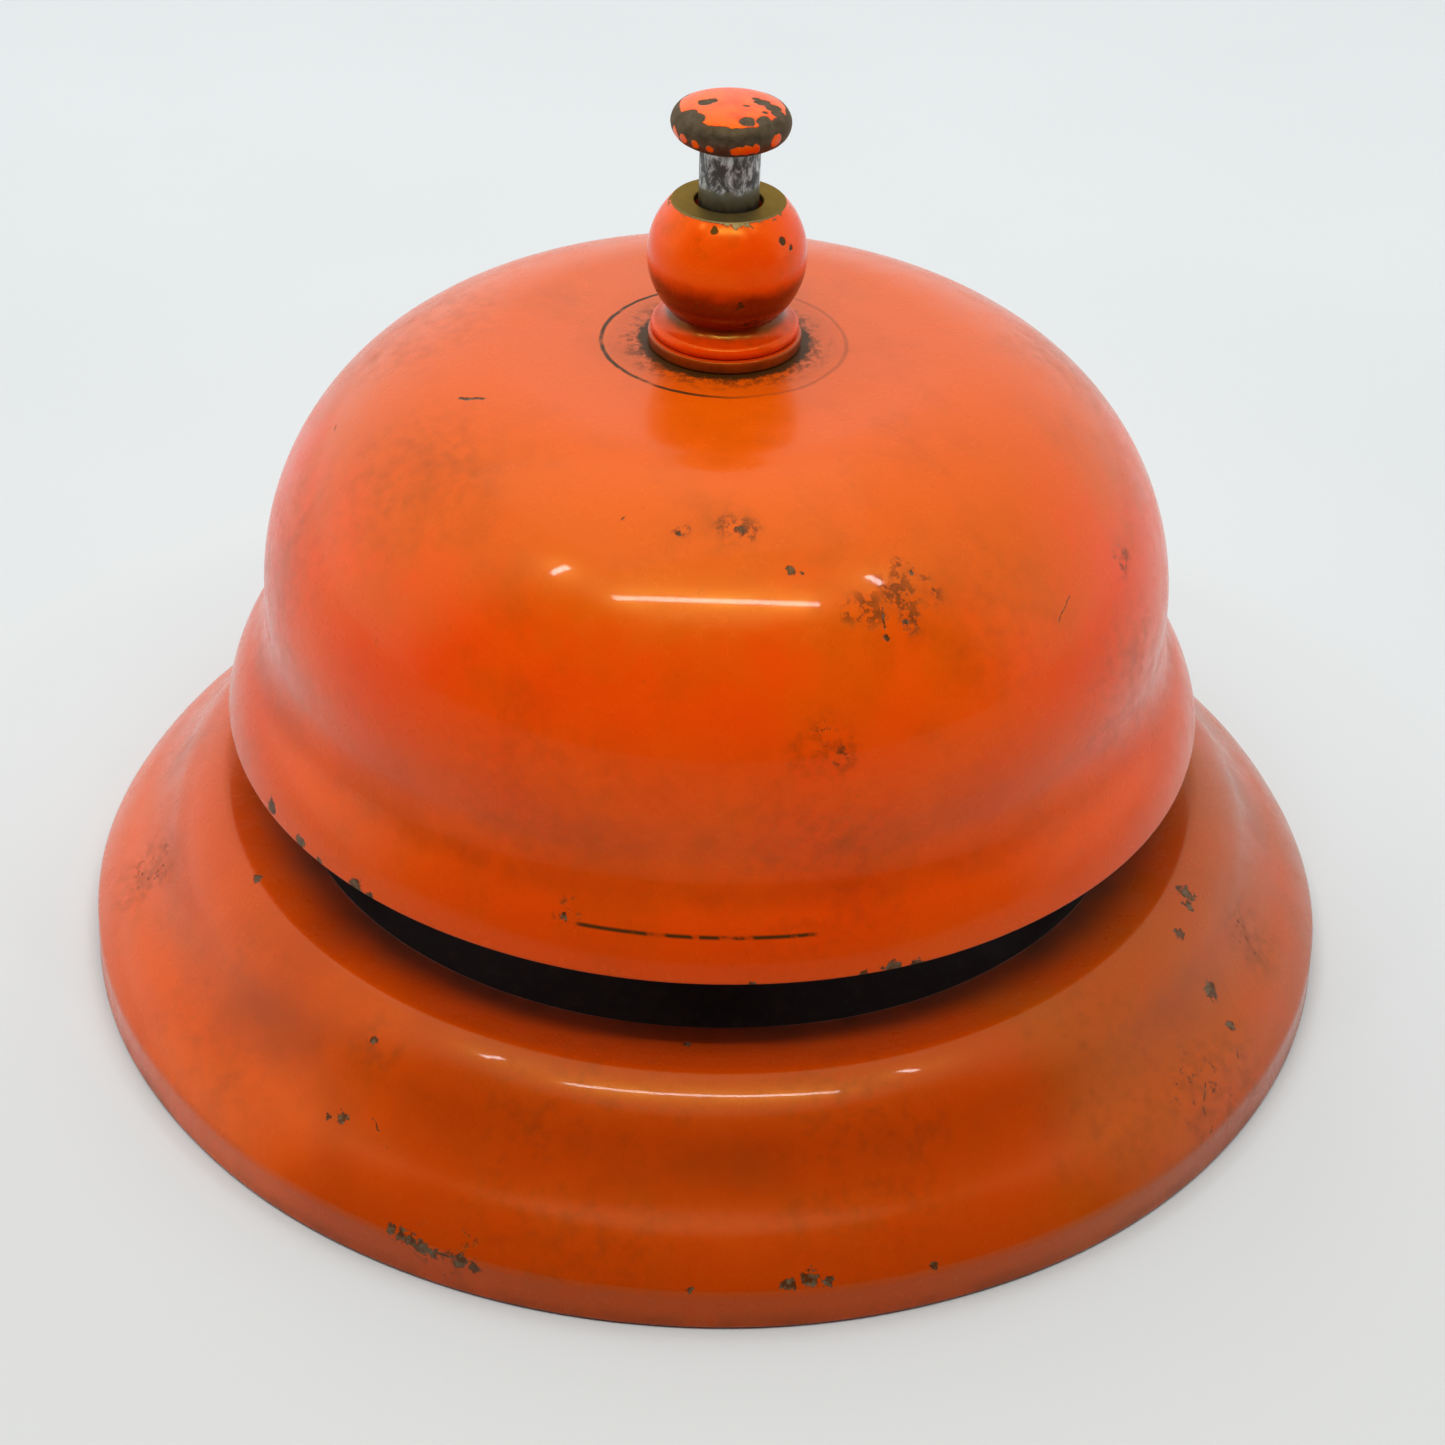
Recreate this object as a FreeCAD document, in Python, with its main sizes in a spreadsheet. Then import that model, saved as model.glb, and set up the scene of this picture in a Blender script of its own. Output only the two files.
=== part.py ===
import FreeCAD, Part

import math
import os
import re

import Sketcher

# A counter-top service bell, 130 mm across its foot and 88 mm tall.
# Origin: centre of the foot ring, on the surface that the bell stands on. +Z is up.
# The hammer swings in the XZ plane, towards +X. Lengths are in millimetres.

DIMENSIONS = {
    # pressed base
    "sheet_thickness": 1.0,
    "foot_radius": 65.0,
    "crease_radius": 64.7,
    "crease_height": 4.0,
    "skirt_bend_radius": 14.5,
    "skirt_radius": 60.9,
    "skirt_height": 8.3,
    "waist_radius": 56.2,
    "waist_height": 13.0,
    "brow_radius": 50.9,
    "brow_height": 17.3,
    "ridge_radius": 50.1,
    "ridge_height": 17.38,
    "mouth_radius": 43.4,
    "mouth_height": 16.3,
    # pan that closes the base and carries the mechanism
    "flange_radius": 48.0,
    "pan_floor": 8.0,
    "pan_bend_radius": 2.0,
    # stamped frame
    "strip_thickness": 1.6,
    "frame_width": 14.0,
    "leg_inside": 8.0,
    "web_top": 51.0,
    "foot_reach": 21.0,
    "ear_half_height": 4.5,
    # rivets
    "rivet_spacing": 8.0,
    "rivet_offset": 15.5,
    "rivet_radius": 1.6,
    "rivet_head_radius": 2.9,
    "rivet_head_height": 1.2,
    # hollow post, its nuts and its washers
    "post_radius": 4.0,
    "post_bore_radius": 2.9,
    "post_guide_radius": 1.7,
    "post_flange_radius": 6.0,
    "post_flange_thickness": 1.4,
    "post_top": 72.0,
    "nut_across_flats": 13.0,
    "nut_height": 3.6,
    "lock_washer_radius": 6.4,
    "lock_washer_thickness": 1.4,
    "seat_washer_radius": 10.0,
    "seat_washer_thickness": 1.2,
    "cap_washer_radius": 7.3,
    "cap_washer_thickness": 1.2,
    # bell
    "bell_thickness": 1.5,
    "bell_top": 64.6,
    "bell_hole_radius": 4.1,
    "crown_bend_radius": 1000.0,
    "crown_radius": 20.4,
    "crown_drop": 0.2,
    "shoulder_bend_radius": 25.0,
    "wall_radius": 45.0,
    "wall_top": 39.4,
    "lip_root_radius": 45.05,
    "lip_root_height": 37.0,
    "lip_turn_radius": 46.9,
    "lip_turn_height": 32.2,
    "lip_side_radius": 49.2,
    "lip_side_height": 27.6,
    "rim_radius": 49.5,
    "rim_height": 26.6,
    # finial nut
    "bead_root_radius": 6.65,
    "bead_height": 1.2,
    "cove_radius": 1.6,
    "neck_radius": 5.2,
    "neck_height": 68.1,
    "ball_radius": 7.5,
    "finial_top": 78.9,
    "finial_face_radius": 5.2,
    "finial_bore_radius": 3.2,
    # plunger
    "stem_radius": 2.8,
    "stem_shoulder": 67.0,
    "stem_top": 84.2,
    "spigot_radius": 2.0,
    "spigot_length": 2.0,
    "rod_radius": 1.6,
    "rod_tip": 45.2,
    "clip_bottom": 47.1,
    "clip_thickness": 0.7,
    "clip_groove_radius": 1.3,
    "clip_radius": 3.4,
    "clip_mouth": 2.2,
    "button_under_radius": 3.0,
    "button_taper_radius": 5.0,
    "button_taper_height": 85.1,
    "button_radius": 5.5,
    "button_side_bottom": 86.2,
    "button_side_top": 87.1,
    "button_edge_radius": 4.9,
    "button_edge_height": 87.7,
    "button_top": 88.3,
    # return spring
    "spring_wire": 0.5,
    "spring_mean_radius": 2.25,
    "spring_turns": 10.0,
    # hammer and its pivot
    "pivot_across": 20.0,
    "pivot_height": 44.0,
    "lever_thickness": 2.4,
    "lever_half_width": 1.0,
    "lever_tail": 22.4,
    "lever_eye_radius": 4.2,
    "bush_radius": 3.0,
    "bush_bore_radius": 1.55,
    "bush_half_length": 3.0,
    "pin_radius": 1.5,
    "pin_head_radius": 2.6,
    "pin_head_thickness": 0.9,
    "pin_groove_radius": 1.1,
    "pin_end_length": 1.6,
    "spacer_radius": 2.6,
    "spacer_gap": 0.15,
    "head_across": 36.2,
    "head_height": 28.5,
    "head_radius": 4.0,
    "head_slot": 2.4,
    "cross_rivet_radius": 1.0,
}

DOCUMENT = FreeCAD.newDocument("service_bell")
SHEET = DOCUMENT.addObject("Spreadsheet::Sheet", "Dimensions")
WHOLE_TURN = 360.0
SLIVER = 1e-9


def fill_sheet():
    """Write each driving dimension in its own row, under its own name."""
    for row, (alias, number) in enumerate(DIMENSIONS.items(), start=1):
        SHEET.set(f"A{row}", alias)
        SHEET.set(f"B{row}", str(number))
        SHEET.setAlias(f"B{row}", alias)
    DOCUMENT.recompute()


def bound(text):
    """The same formula with each dimension named by its place in the sheet."""
    def in_sheet(word):
        return f"Dimensions.{word[0]}" if word[0] in DIMENSIONS else word[0]

    return re.sub(r"[a-z_]+", in_sheet, text)


def value(text):
    """The number that a formula of dimensions gives."""
    return float(SHEET.evalExpression(bound(text)))


def new_body(name):
    body = DOCUMENT.addObject("PartDesign::Body", name)
    body.Label = name
    return body


def new_sketch(body, name, plane):
    """A sketch on one of the body's own origin planes."""
    sketch = body.newObject("Sketcher::SketchObject", name)
    for feature in body.Origin.OriginFeatures:
        if feature.Role == plane:
            sketch.AttachmentSupport = [(feature, "")]
    sketch.MapMode = "FlatFace"
    return sketch


def pin_point(sketch, edge, end, direction, text):
    """Hold one end of an edge at a distance from the sketch's origin, read from the sheet."""
    distance = value(text)
    axis = -2 if direction == "DistanceX" else -1
    if abs(distance) < SLIVER:
        sketch.addConstraint(Sketcher.Constraint("PointOnObject", edge, end, axis))
        return
    if distance > 0:
        index = sketch.addConstraint(Sketcher.Constraint(direction, -1, 1, edge, end, distance))
        sketch.setExpression(f"Constraints[{index}]", bound(text))
        return
    index = sketch.addConstraint(Sketcher.Constraint(direction, edge, end, -1, 1, -distance))
    sketch.setExpression(f"Constraints[{index}]", bound(f"-({text})"))


def arc_by_middle(start, finish, bulge):
    """An arc between two points that passes bulge to the left of the middle of their chord."""
    chord = finish - start
    left = FreeCAD.Vector(-chord.y, chord.x, 0).normalize()
    return Part.Arc(start, (start + finish) / 2 + left * bulge, finish)


def bulge_of(chord, radius):
    """How far an arc of this radius stands off a chord of this length."""
    return radius - math.sqrt(max(radius * radius - chord * chord / 4, 0.0))


def draw_outline(sketch, corners):
    """Close a profile through corners given as (across, up) or (across, up, bend).

    bend shapes the edge that leaves the corner. ("left", radius) and ("right", radius) are arcs that
    bulge to that side of the way round, and ("smooth", turn) is an arc tangent to the edge before it,
    turning about that many degrees anticlockwise.
    """
    points = [FreeCAD.Vector(value(corner[0]), value(corner[1]), 0) for corner in corners]
    ends = []
    for index, corner in enumerate(corners):
        start = points[index]
        finish = points[(index + 1) % len(points)]
        bend = corner[2] if len(corner) > 2 else None
        if bend is None:
            edge = sketch.addGeometry(Part.LineSegment(start, finish), False)
        elif bend[0] == "smooth":
            turn = math.radians(bend[1])
            bulge = -(finish - start).Length / 2 * math.tan(turn / 4)
            edge = sketch.addGeometry(arc_by_middle(start, finish, bulge), False)
        else:
            side = 1 if bend[0] == "left" else -1
            bulge = side * bulge_of((finish - start).Length, value(bend[1]))
            edge = sketch.addGeometry(arc_by_middle(start, finish, bulge), False)
            radius = sketch.addConstraint(Sketcher.Constraint("Radius", edge, value(bend[1])))
            sketch.setExpression(f"Constraints[{radius}]", bound(bend[1]))
        first = 1 if sketch.getPoint(edge, 1).distanceToPoint(start) < 1e-6 else 2
        ends.append((edge, first, 3 - first))
    for index, corner in enumerate(corners):
        edge, first, _ = ends[index]
        before, _, last = ends[index - 1]
        smooth = len(corner) > 2 and corner[2][0] == "smooth"
        join = "Tangent" if smooth else "Coincident"
        sketch.addConstraint(Sketcher.Constraint(join, before, last, edge, first))
        pin_point(sketch, edge, first, "DistanceX", corner[0])
        pin_point(sketch, edge, first, "DistanceY", corner[1])


def draw_circle(sketch, across, up, radius):
    """A circle whose centre and radius are read from the sheet."""
    centre = FreeCAD.Vector(value(across), value(up), 0)
    circle = sketch.addGeometry(Part.Circle(centre, FreeCAD.Vector(0, 0, 1), value(radius)), False)
    index = sketch.addConstraint(Sketcher.Constraint("Radius", circle, value(radius)))
    sketch.setExpression(f"Constraints[{index}]", bound(radius))
    pin_point(sketch, circle, 3, "DistanceX", across)
    pin_point(sketch, circle, 3, "DistanceY", up)


def turned(name, corners):
    """A piece turned about the bell's axis from a half profile of (radius, height) corners."""
    body = new_body(name)
    sketch = new_sketch(body, f"{name}_profile", "XZ_Plane")
    draw_outline(sketch, corners)
    revolution = body.newObject("PartDesign::Revolution", f"{name}_turning")
    revolution.Profile = sketch
    revolution.ReferenceAxis = (sketch, ["V_Axis"])
    revolution.Angle = WHOLE_TURN
    sketch.Visibility = False
    return body


def pad(body, sketch, length, middle=False):
    """Thicken a sketch along its own normal, by a length read from the sheet."""
    feature = body.newObject("PartDesign::Pad", f"{sketch.Name}_pad")
    feature.Profile = sketch
    feature.setExpression("Length", bound(length))
    feature.Midplane = middle
    DOCUMENT.recompute()
    return feature


def pocket_through(body, sketch):
    """Cut a sketch through everything, both ways, and make sure that it removed something."""
    before = body.Shape.Volume
    feature = body.newObject("PartDesign::Pocket", f"{sketch.Name}_pocket")
    feature.Profile = sketch
    feature.Type = 1
    feature.Midplane = True
    DOCUMENT.recompute()
    if body.Shape.Volume > before - 1e-3:
        raise RuntimeError(f"{feature.Name} removed nothing")
    return feature


def place(thing, across="0", back="0", up="0", rotation=None):
    """Bind where a piece stands to the sheet, and turn it."""
    if rotation:
        thing.Placement = FreeCAD.Placement(FreeCAD.Vector(), rotation)
    for letter, text in (("x", across), ("y", back), ("z", up)):
        if text != "0":
            thing.setExpression(f"Placement.Base.{letter}", bound(text))


# --- base ---------------------------------------------------------------------------------------


def base_shell():
    """Pressed skirt: a foot band, an ogee up to a tight ridge, and a band dipping in to the mouth."""
    slant = "sheet_thickness * sin(45 deg)"
    return turned("base_shell", [
        ("foot_radius - sheet_thickness", "0"),
        ("foot_radius", "0"),
        ("crease_radius", "crease_height", ("right", "skirt_bend_radius")),
        ("skirt_radius", "skirt_height", ("smooth", -18.3)),
        ("waist_radius", "waist_height", ("smooth", 34.0)),
        ("brow_radius", "brow_height", ("smooth", 30.0)),
        ("ridge_radius", "ridge_height"),
        ("mouth_radius", "mouth_height"),
        ("mouth_radius", "mouth_height - sheet_thickness"),
        ("ridge_radius", "ridge_height - sheet_thickness"),
        (f"waist_radius - {slant}", f"waist_height - {slant}"),
        (f"skirt_radius - {slant}", f"skirt_height - {slant}"),
        ("crease_radius - sheet_thickness", "crease_height - sheet_thickness / 4"),
    ])


def mechanism_pan():
    """Pan under the mouth: a flange that follows the band, a round wall and a flat floor with rivet holes."""
    under_mouth = "mouth_height - sheet_thickness"
    rise = "(ridge_height - mouth_height) / (ridge_radius - mouth_radius)"
    under_band = f"{under_mouth} + (flange_radius - mouth_radius) * {rise}"
    inside = "mouth_radius - sheet_thickness"
    floor_under = "pan_floor - sheet_thickness"
    body = turned("mechanism_pan", [
        ("0", floor_under),
        (f"{inside} - pan_bend_radius", floor_under, ("right", "pan_bend_radius + sheet_thickness")),
        ("mouth_radius", "pan_floor + pan_bend_radius"),
        ("mouth_radius", f"{under_mouth} - sheet_thickness"),
        ("flange_radius", f"{under_band} - sheet_thickness"),
        ("flange_radius", under_band),
        ("mouth_radius", under_mouth),
        (inside, under_mouth),
        (inside, "pan_floor + pan_bend_radius", ("left", "pan_bend_radius")),
        (f"{inside} - pan_bend_radius", "pan_floor"),
        ("0", "pan_floor"),
    ])
    DOCUMENT.recompute()
    rivet_holes(body)
    return body


def rivet_places():
    """Where the four rivets stand, as (across, back) formulas."""
    return [
        (f"{side} * rivet_spacing / 2", f"{way} * rivet_offset")
        for way in (-1, 1)
        for side in (-1, 1)
    ]


def rivet_holes(body):
    holes = new_sketch(body, f"{body.Name}_rivet_holes", "XY_Plane")
    for across, back in rivet_places():
        draw_circle(holes, across, back, "rivet_radius")
    pocket_through(body, holes)


# --- frame --------------------------------------------------------------------------------------


def bell_frame():
    """Bent strip: two riveted feet, two legs, a web that holds the post, and ears for the pivot pin."""
    body = new_body("bell_frame")
    strip = new_sketch(body, "frame_strip", "YZ_Plane")
    outside = "leg_inside + strip_thickness"
    foot_top = "pan_floor + strip_thickness"
    web_under = "web_top - strip_thickness"
    draw_outline(strip, [
        ("-foot_reach", "pan_floor"),
        ("-(leg_inside)", "pan_floor"),
        ("-(leg_inside)", web_under),
        ("leg_inside", web_under),
        ("leg_inside", "pan_floor"),
        ("foot_reach", "pan_floor"),
        ("foot_reach", foot_top),
        (outside, foot_top),
        (outside, "web_top"),
        (f"-({outside})", "web_top"),
        (f"-({outside})", foot_top),
        ("-foot_reach", foot_top),
    ])
    pad(body, strip, "frame_width", middle=True)

    ears = new_sketch(body, "frame_ears", "XZ_Plane")
    draw_outline(ears, [
        ("0", "pivot_height - ear_half_height"),
        ("pivot_across", "pivot_height - ear_half_height", ("smooth", 180.0)),
        ("pivot_across", "pivot_height + ear_half_height"),
        ("0", "pivot_height + ear_half_height"),
    ])
    pad(body, ears, "2 * leg_inside + 2 * strip_thickness", middle=True)

    hollow = new_sketch(body, "frame_hollow", "YZ_Plane")
    draw_outline(hollow, [
        ("-(leg_inside)", "pan_floor"),
        ("leg_inside", "pan_floor"),
        ("leg_inside", web_under),
        ("-(leg_inside)", web_under),
    ])
    pocket_through(body, hollow)

    pivot = new_sketch(body, "frame_pivot_hole", "XZ_Plane")
    draw_circle(pivot, "pivot_across", "pivot_height", "pin_radius")
    pocket_through(body, pivot)

    post = new_sketch(body, "frame_post_hole", "XY_Plane")
    draw_circle(post, "0", "0", "post_radius")
    pocket_through(body, post)
    rivet_holes(body)
    return body


def frame_rivets():
    """Four round-headed rivets that hold the frame's feet to the pan."""
    rivets = []
    for number, (across, back) in enumerate(rivet_places(), start=1):
        shank = DOCUMENT.addObject("Part::Cylinder", f"rivet_{number}_shank")
        shank.setExpression("Radius", bound("rivet_radius"))
        shank.setExpression("Height", bound("sheet_thickness + strip_thickness"))
        place(shank, across, back, "pan_floor - sheet_thickness")
        heads = []
        for end, foot in (("top", "pan_floor + strip_thickness"), ("bottom", "pan_floor - sheet_thickness")):
            head = DOCUMENT.addObject("Part::Cone", f"rivet_{number}_{end}")
            head.setExpression("Radius1", bound("rivet_head_radius"))
            head.setExpression("Radius2", bound("rivet_head_radius * 0.6"))
            head.setExpression("Height", bound("rivet_head_height"))
            over = FreeCAD.Rotation(FreeCAD.Vector(1, 0, 0), 0 if end == "top" else 180)
            place(head, across, back, foot, over)
            heads.append(head)
        rivet = DOCUMENT.addObject("Part::MultiFuse", f"rivet_{number}")
        rivet.Shapes = [shank] + heads
        rivets.append(rivet)
    group = DOCUMENT.addObject("Part::Compound", "frame_rivets")
    group.Label = "frame_rivets"
    group.Links = rivets
    return group


# --- post and bell ------------------------------------------------------------------------------


def post_tube():
    """Hollow post: a flange under the web, a narrow guide for the rod, and a wide bore above it."""
    flange_under = "web_top - strip_thickness - post_flange_thickness"
    return turned("post_tube", [
        ("post_guide_radius", flange_under),
        ("post_flange_radius", flange_under),
        ("post_flange_radius", "web_top - strip_thickness"),
        ("post_radius", "web_top - strip_thickness"),
        ("post_radius", "post_top"),
        ("post_bore_radius", "post_top"),
        ("post_bore_radius", "web_top"),
        ("post_guide_radius", "web_top"),
    ])


def hex_nut(name, foot):
    """A hexagonal nut on the post, standing at the height that foot gives."""
    body = new_body(name)
    flats = "nut_across_flats / 2"
    corner = "nut_across_flats / 2 / cos(30 deg)"
    hexagon = new_sketch(body, f"{name}_hexagon", "XY_Plane")
    draw_outline(hexagon, [
        (flats, f"{corner} / 2"),
        ("0", corner),
        (f"-{flats}", f"{corner} / 2"),
        (f"-{flats}", f"-{corner} / 2"),
        ("0", f"-{corner}"),
        (flats, f"-{corner} / 2"),
    ])
    pad(body, hexagon, "nut_height")
    bore = new_sketch(body, f"{name}_bore", "XY_Plane")
    draw_circle(bore, "0", "0", "post_radius")
    pocket_through(body, bore)
    place(body, up=foot)
    return body


def ring(name, inner, outer, low, high):
    """A flat washer between two radii and two heights."""
    return turned(name, [(inner, low), (outer, low), (outer, high), (inner, high)])


def bell_dome():
    """Spun bell: a nearly flat crown, a round shoulder, a straight wall and a flared lip."""
    slant = "bell_thickness * sin(45 deg)"
    return turned("bell_dome", [
        ("bell_hole_radius", "bell_top - bell_thickness"),
        ("seat_washer_radius + 0.5", "bell_top - bell_thickness"),
        ("crown_radius - bell_thickness / 8", "bell_top - crown_drop - bell_thickness",
         ("left", "shoulder_bend_radius - bell_thickness")),
        ("wall_radius - bell_thickness", "wall_top"),
        ("lip_root_radius - bell_thickness", "lip_root_height - bell_thickness / 4", ("smooth", 43.0)),
        (f"lip_turn_radius - {slant}", f"lip_turn_height - {slant}", ("smooth", -38.0)),
        ("rim_radius - bell_thickness", "rim_height"),
        ("rim_radius", "rim_height"),
        ("lip_side_radius", "lip_side_height", ("smooth", 20.0)),
        ("lip_turn_radius", "lip_turn_height", ("smooth", -31.0)),
        ("lip_root_radius", "lip_root_height"),
        ("wall_radius", "wall_top", ("right", "shoulder_bend_radius")),
        ("crown_radius", "bell_top - crown_drop", ("right", "crown_bend_radius")),
        ("bell_hole_radius", "bell_top"),
    ])


def finial_nut():
    """Turned ball nut: a beaded foot, a hollow neck, and a ball with a flat bored top."""
    foot = "bell_top + cap_washer_thickness"
    return turned("finial_nut", [
        ("post_radius", foot),
        ("bead_root_radius", foot, ("right", "bead_height / 2 + 0.05")),
        ("bead_root_radius", f"{foot} + bead_height", ("left", "cove_radius")),
        ("neck_radius", "neck_height", ("right", "ball_radius")),
        ("finial_face_radius", "finial_top"),
        ("finial_bore_radius", "finial_top"),
        ("finial_bore_radius", "post_top"),
        ("post_radius", "post_top"),
    ])


# --- plunger ------------------------------------------------------------------------------------


def plunger_stem():
    """Stem with a spigot for the button above, and a thin rod with a clip groove and a round tip below."""
    clip_top = "clip_bottom + clip_thickness"
    return turned("plunger_stem", [
        ("0", "rod_tip", ("right", "rod_radius")),
        ("rod_radius", "rod_tip + rod_radius"),
        ("rod_radius", "clip_bottom"),
        ("clip_groove_radius", "clip_bottom"),
        ("clip_groove_radius", clip_top),
        ("rod_radius", clip_top),
        ("rod_radius", "stem_shoulder"),
        ("stem_radius", "stem_shoulder"),
        ("stem_radius", "stem_top"),
        ("spigot_radius", "stem_top"),
        ("spigot_radius", "stem_top + spigot_length"),
        ("0", "stem_top + spigot_length"),
    ])


def push_button():
    """Mushroom button with a blind hole that takes the stem's spigot."""
    spigot_end = "stem_top + spigot_length"
    return turned("push_button", [
        ("spigot_radius", "stem_top"),
        ("button_under_radius", "stem_top"),
        ("button_taper_radius", "button_taper_height"),
        ("button_radius", "button_side_bottom"),
        ("button_radius", "button_side_top"),
        ("button_edge_radius", "button_edge_height"),
        ("0", "button_top"),
        ("0", spigot_end),
        ("spigot_radius", spigot_end),
    ])


def spring_clip(name, inner, outer, mouth):
    """Flat clip with an open side, pushed into a groove. It lies on the XY plane."""
    body = new_body(name)
    disc = new_sketch(body, f"{name}_disc", "XY_Plane")
    draw_circle(disc, "0", "0", outer)
    draw_circle(disc, "0", "0", inner)
    pad(body, disc, "clip_thickness")
    gap = new_sketch(body, f"{name}_gap", "XY_Plane")
    draw_outline(gap, [
        ("0", f"-{mouth} / 2"),
        (f"{outer} * 2", f"-{mouth} / 2"),
        (f"{outer} * 2", f"{mouth} / 2"),
        ("0", f"{mouth} / 2"),
    ])
    pocket_through(body, gap)
    return body


def return_spring():
    """Coil spring around the rod, from the post's inner shoulder up to the stem."""
    wire = value("spring_wire")
    mean_radius = value("spring_mean_radius")
    length = value("stem_shoulder - web_top") - wire
    coil = Part.makeHelix(length / value("spring_turns"), length, mean_radius)
    section = Part.Wire(Part.makeCircle(wire / 2, FreeCAD.Vector(mean_radius, 0, 0), FreeCAD.Vector(0, 1, 0)))
    spring = DOCUMENT.addObject("Part::Feature", "return_spring")
    spring.Label = "return_spring"
    spring.Shape = Part.Wire(coil.Edges).makePipeShell([section], True, True)
    foot = FreeCAD.Vector(0, 0, value("web_top") + wire / 2)
    spring.Placement = FreeCAD.Placement(foot, FreeCAD.Rotation())
    return spring


# --- hammer -------------------------------------------------------------------------------------


def hammer_lever():
    """Flat lever: a tail under the rod, an eye for the bush, and an arm down to the head."""
    body = new_body("hammer_lever")
    run = value("head_across - pivot_across")
    fall = value("pivot_height - head_height")
    reach = math.hypot(run, fall)
    aside = f"lever_half_width * {fall / reach}"
    above = f"lever_half_width * {run / reach}"
    plate = new_sketch(body, "lever_plate", "XZ_Plane")
    draw_outline(plate, [
        ("pivot_across - lever_tail", "pivot_height - lever_half_width"),
        (f"pivot_across - {aside}", f"pivot_height - {above}"),
        (f"head_across - {aside}", f"head_height - {above}"),
        (f"head_across + {aside}", f"head_height + {above}"),
        (f"pivot_across + {aside}", f"pivot_height + {above}"),
        ("pivot_across", "pivot_height + lever_half_width"),
        ("pivot_across - lever_tail", "pivot_height + lever_half_width"),
    ])
    pad(body, plate, "lever_thickness", middle=True)
    eye = new_sketch(body, "lever_eye", "XZ_Plane")
    draw_circle(eye, "pivot_across", "pivot_height", "lever_eye_radius")
    pad(body, eye, "lever_thickness", middle=True)
    hole = new_sketch(body, "lever_bush_hole", "XZ_Plane")
    draw_circle(hole, "pivot_across", "pivot_height", "bush_radius")
    pocket_through(body, hole)
    rivet = new_sketch(body, "lever_rivet_hole", "XZ_Plane")
    draw_circle(rivet, "head_across", "head_height", "cross_rivet_radius")
    pocket_through(body, rivet)
    return body


def crosswise():
    """The turn that lays a piece made along +Z along +Y instead."""
    return FreeCAD.Rotation(FreeCAD.Vector(1, 0, 0), -90)


def hammer_bush():
    """Bush pressed into the lever's eye."""
    body = ring("hammer_bush", "bush_bore_radius", "bush_radius", "-bush_half_length", "bush_half_length")
    place(body, "pivot_across", "0", "pivot_height", crosswise())
    return body


def hammer_head():
    """Solid ball with a slot for the lever and a cross hole for its rivet."""
    ball = DOCUMENT.addObject("Part::Sphere", "head_ball")
    ball.setExpression("Radius", bound("head_radius"))
    place(ball, "head_across", "0", "head_height")
    slot = DOCUMENT.addObject("Part::Box", "head_slot_box")
    run = value("head_across - pivot_across")
    fall = value("pivot_height - head_height")
    slot.setExpression("Length", bound("lever_half_width * 2"))
    slot.setExpression("Width", bound("head_slot"))
    slot.setExpression("Height", bound("head_radius * 2"))
    lean = FreeCAD.Rotation(FreeCAD.Vector(0, 1, 0), -math.degrees(math.atan2(run, fall)))
    foot = FreeCAD.Vector(head_foot_across(), -value("head_slot") / 2, head_foot_height())
    slot.Placement = FreeCAD.Placement(foot, lean)
    hole = cross_cylinder("head_rivet_hole", "head_radius * 3")
    cutters = DOCUMENT.addObject("Part::MultiFuse", "head_cutters")
    cutters.Shapes = [slot, hole]
    head = DOCUMENT.addObject("Part::Cut", "hammer_head")
    head.Label = "hammer_head"
    head.Base = ball
    head.Tool = cutters
    return head


def head_foot_across():
    """Where the lever's lower corner meets the ball's middle, across."""
    run = value("head_across - pivot_across")
    fall = value("pivot_height - head_height")
    return value("head_across") - value("lever_half_width") * fall / math.hypot(run, fall)


def head_foot_height():
    """Where the lever's lower corner meets the ball's middle, up."""
    run = value("head_across - pivot_across")
    fall = value("pivot_height - head_height")
    return value("head_height") - value("lever_half_width") * run / math.hypot(run, fall)


def cross_cylinder(name, length):
    """A cylinder along Y through the middle of the hammer's head."""
    cylinder = DOCUMENT.addObject("Part::Cylinder", name)
    cylinder.setExpression("Radius", bound("cross_rivet_radius"))
    cylinder.setExpression("Height", bound(length))
    place(cylinder, "head_across", f"-({length}) / 2", "head_height", crosswise())
    return cylinder


def hammer_rivet():
    """Plain rivet through the ball and the lever."""
    rivet = cross_cylinder("hammer_rivet", "head_radius * 2 - 0.2")
    rivet.Label = "hammer_rivet"
    return rivet


def pivot_pin():
    """Headed pin through both ears, with a groove for its clip."""
    outside = "leg_inside + strip_thickness"
    body = turned("pivot_pin", [
        ("0", f"-({outside}) - pin_head_thickness"),
        ("pin_head_radius", f"-({outside}) - pin_head_thickness"),
        ("pin_head_radius", f"-({outside})"),
        ("pin_radius", f"-({outside})"),
        ("pin_radius", outside),
        ("pin_groove_radius", outside),
        ("pin_groove_radius", f"{outside} + clip_thickness"),
        ("pin_radius", f"{outside} + clip_thickness"),
        ("pin_radius", f"{outside} + pin_end_length"),
        ("0", f"{outside} + pin_end_length"),
    ])
    place(body, "pivot_across", "0", "pivot_height", crosswise())
    return body


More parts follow.
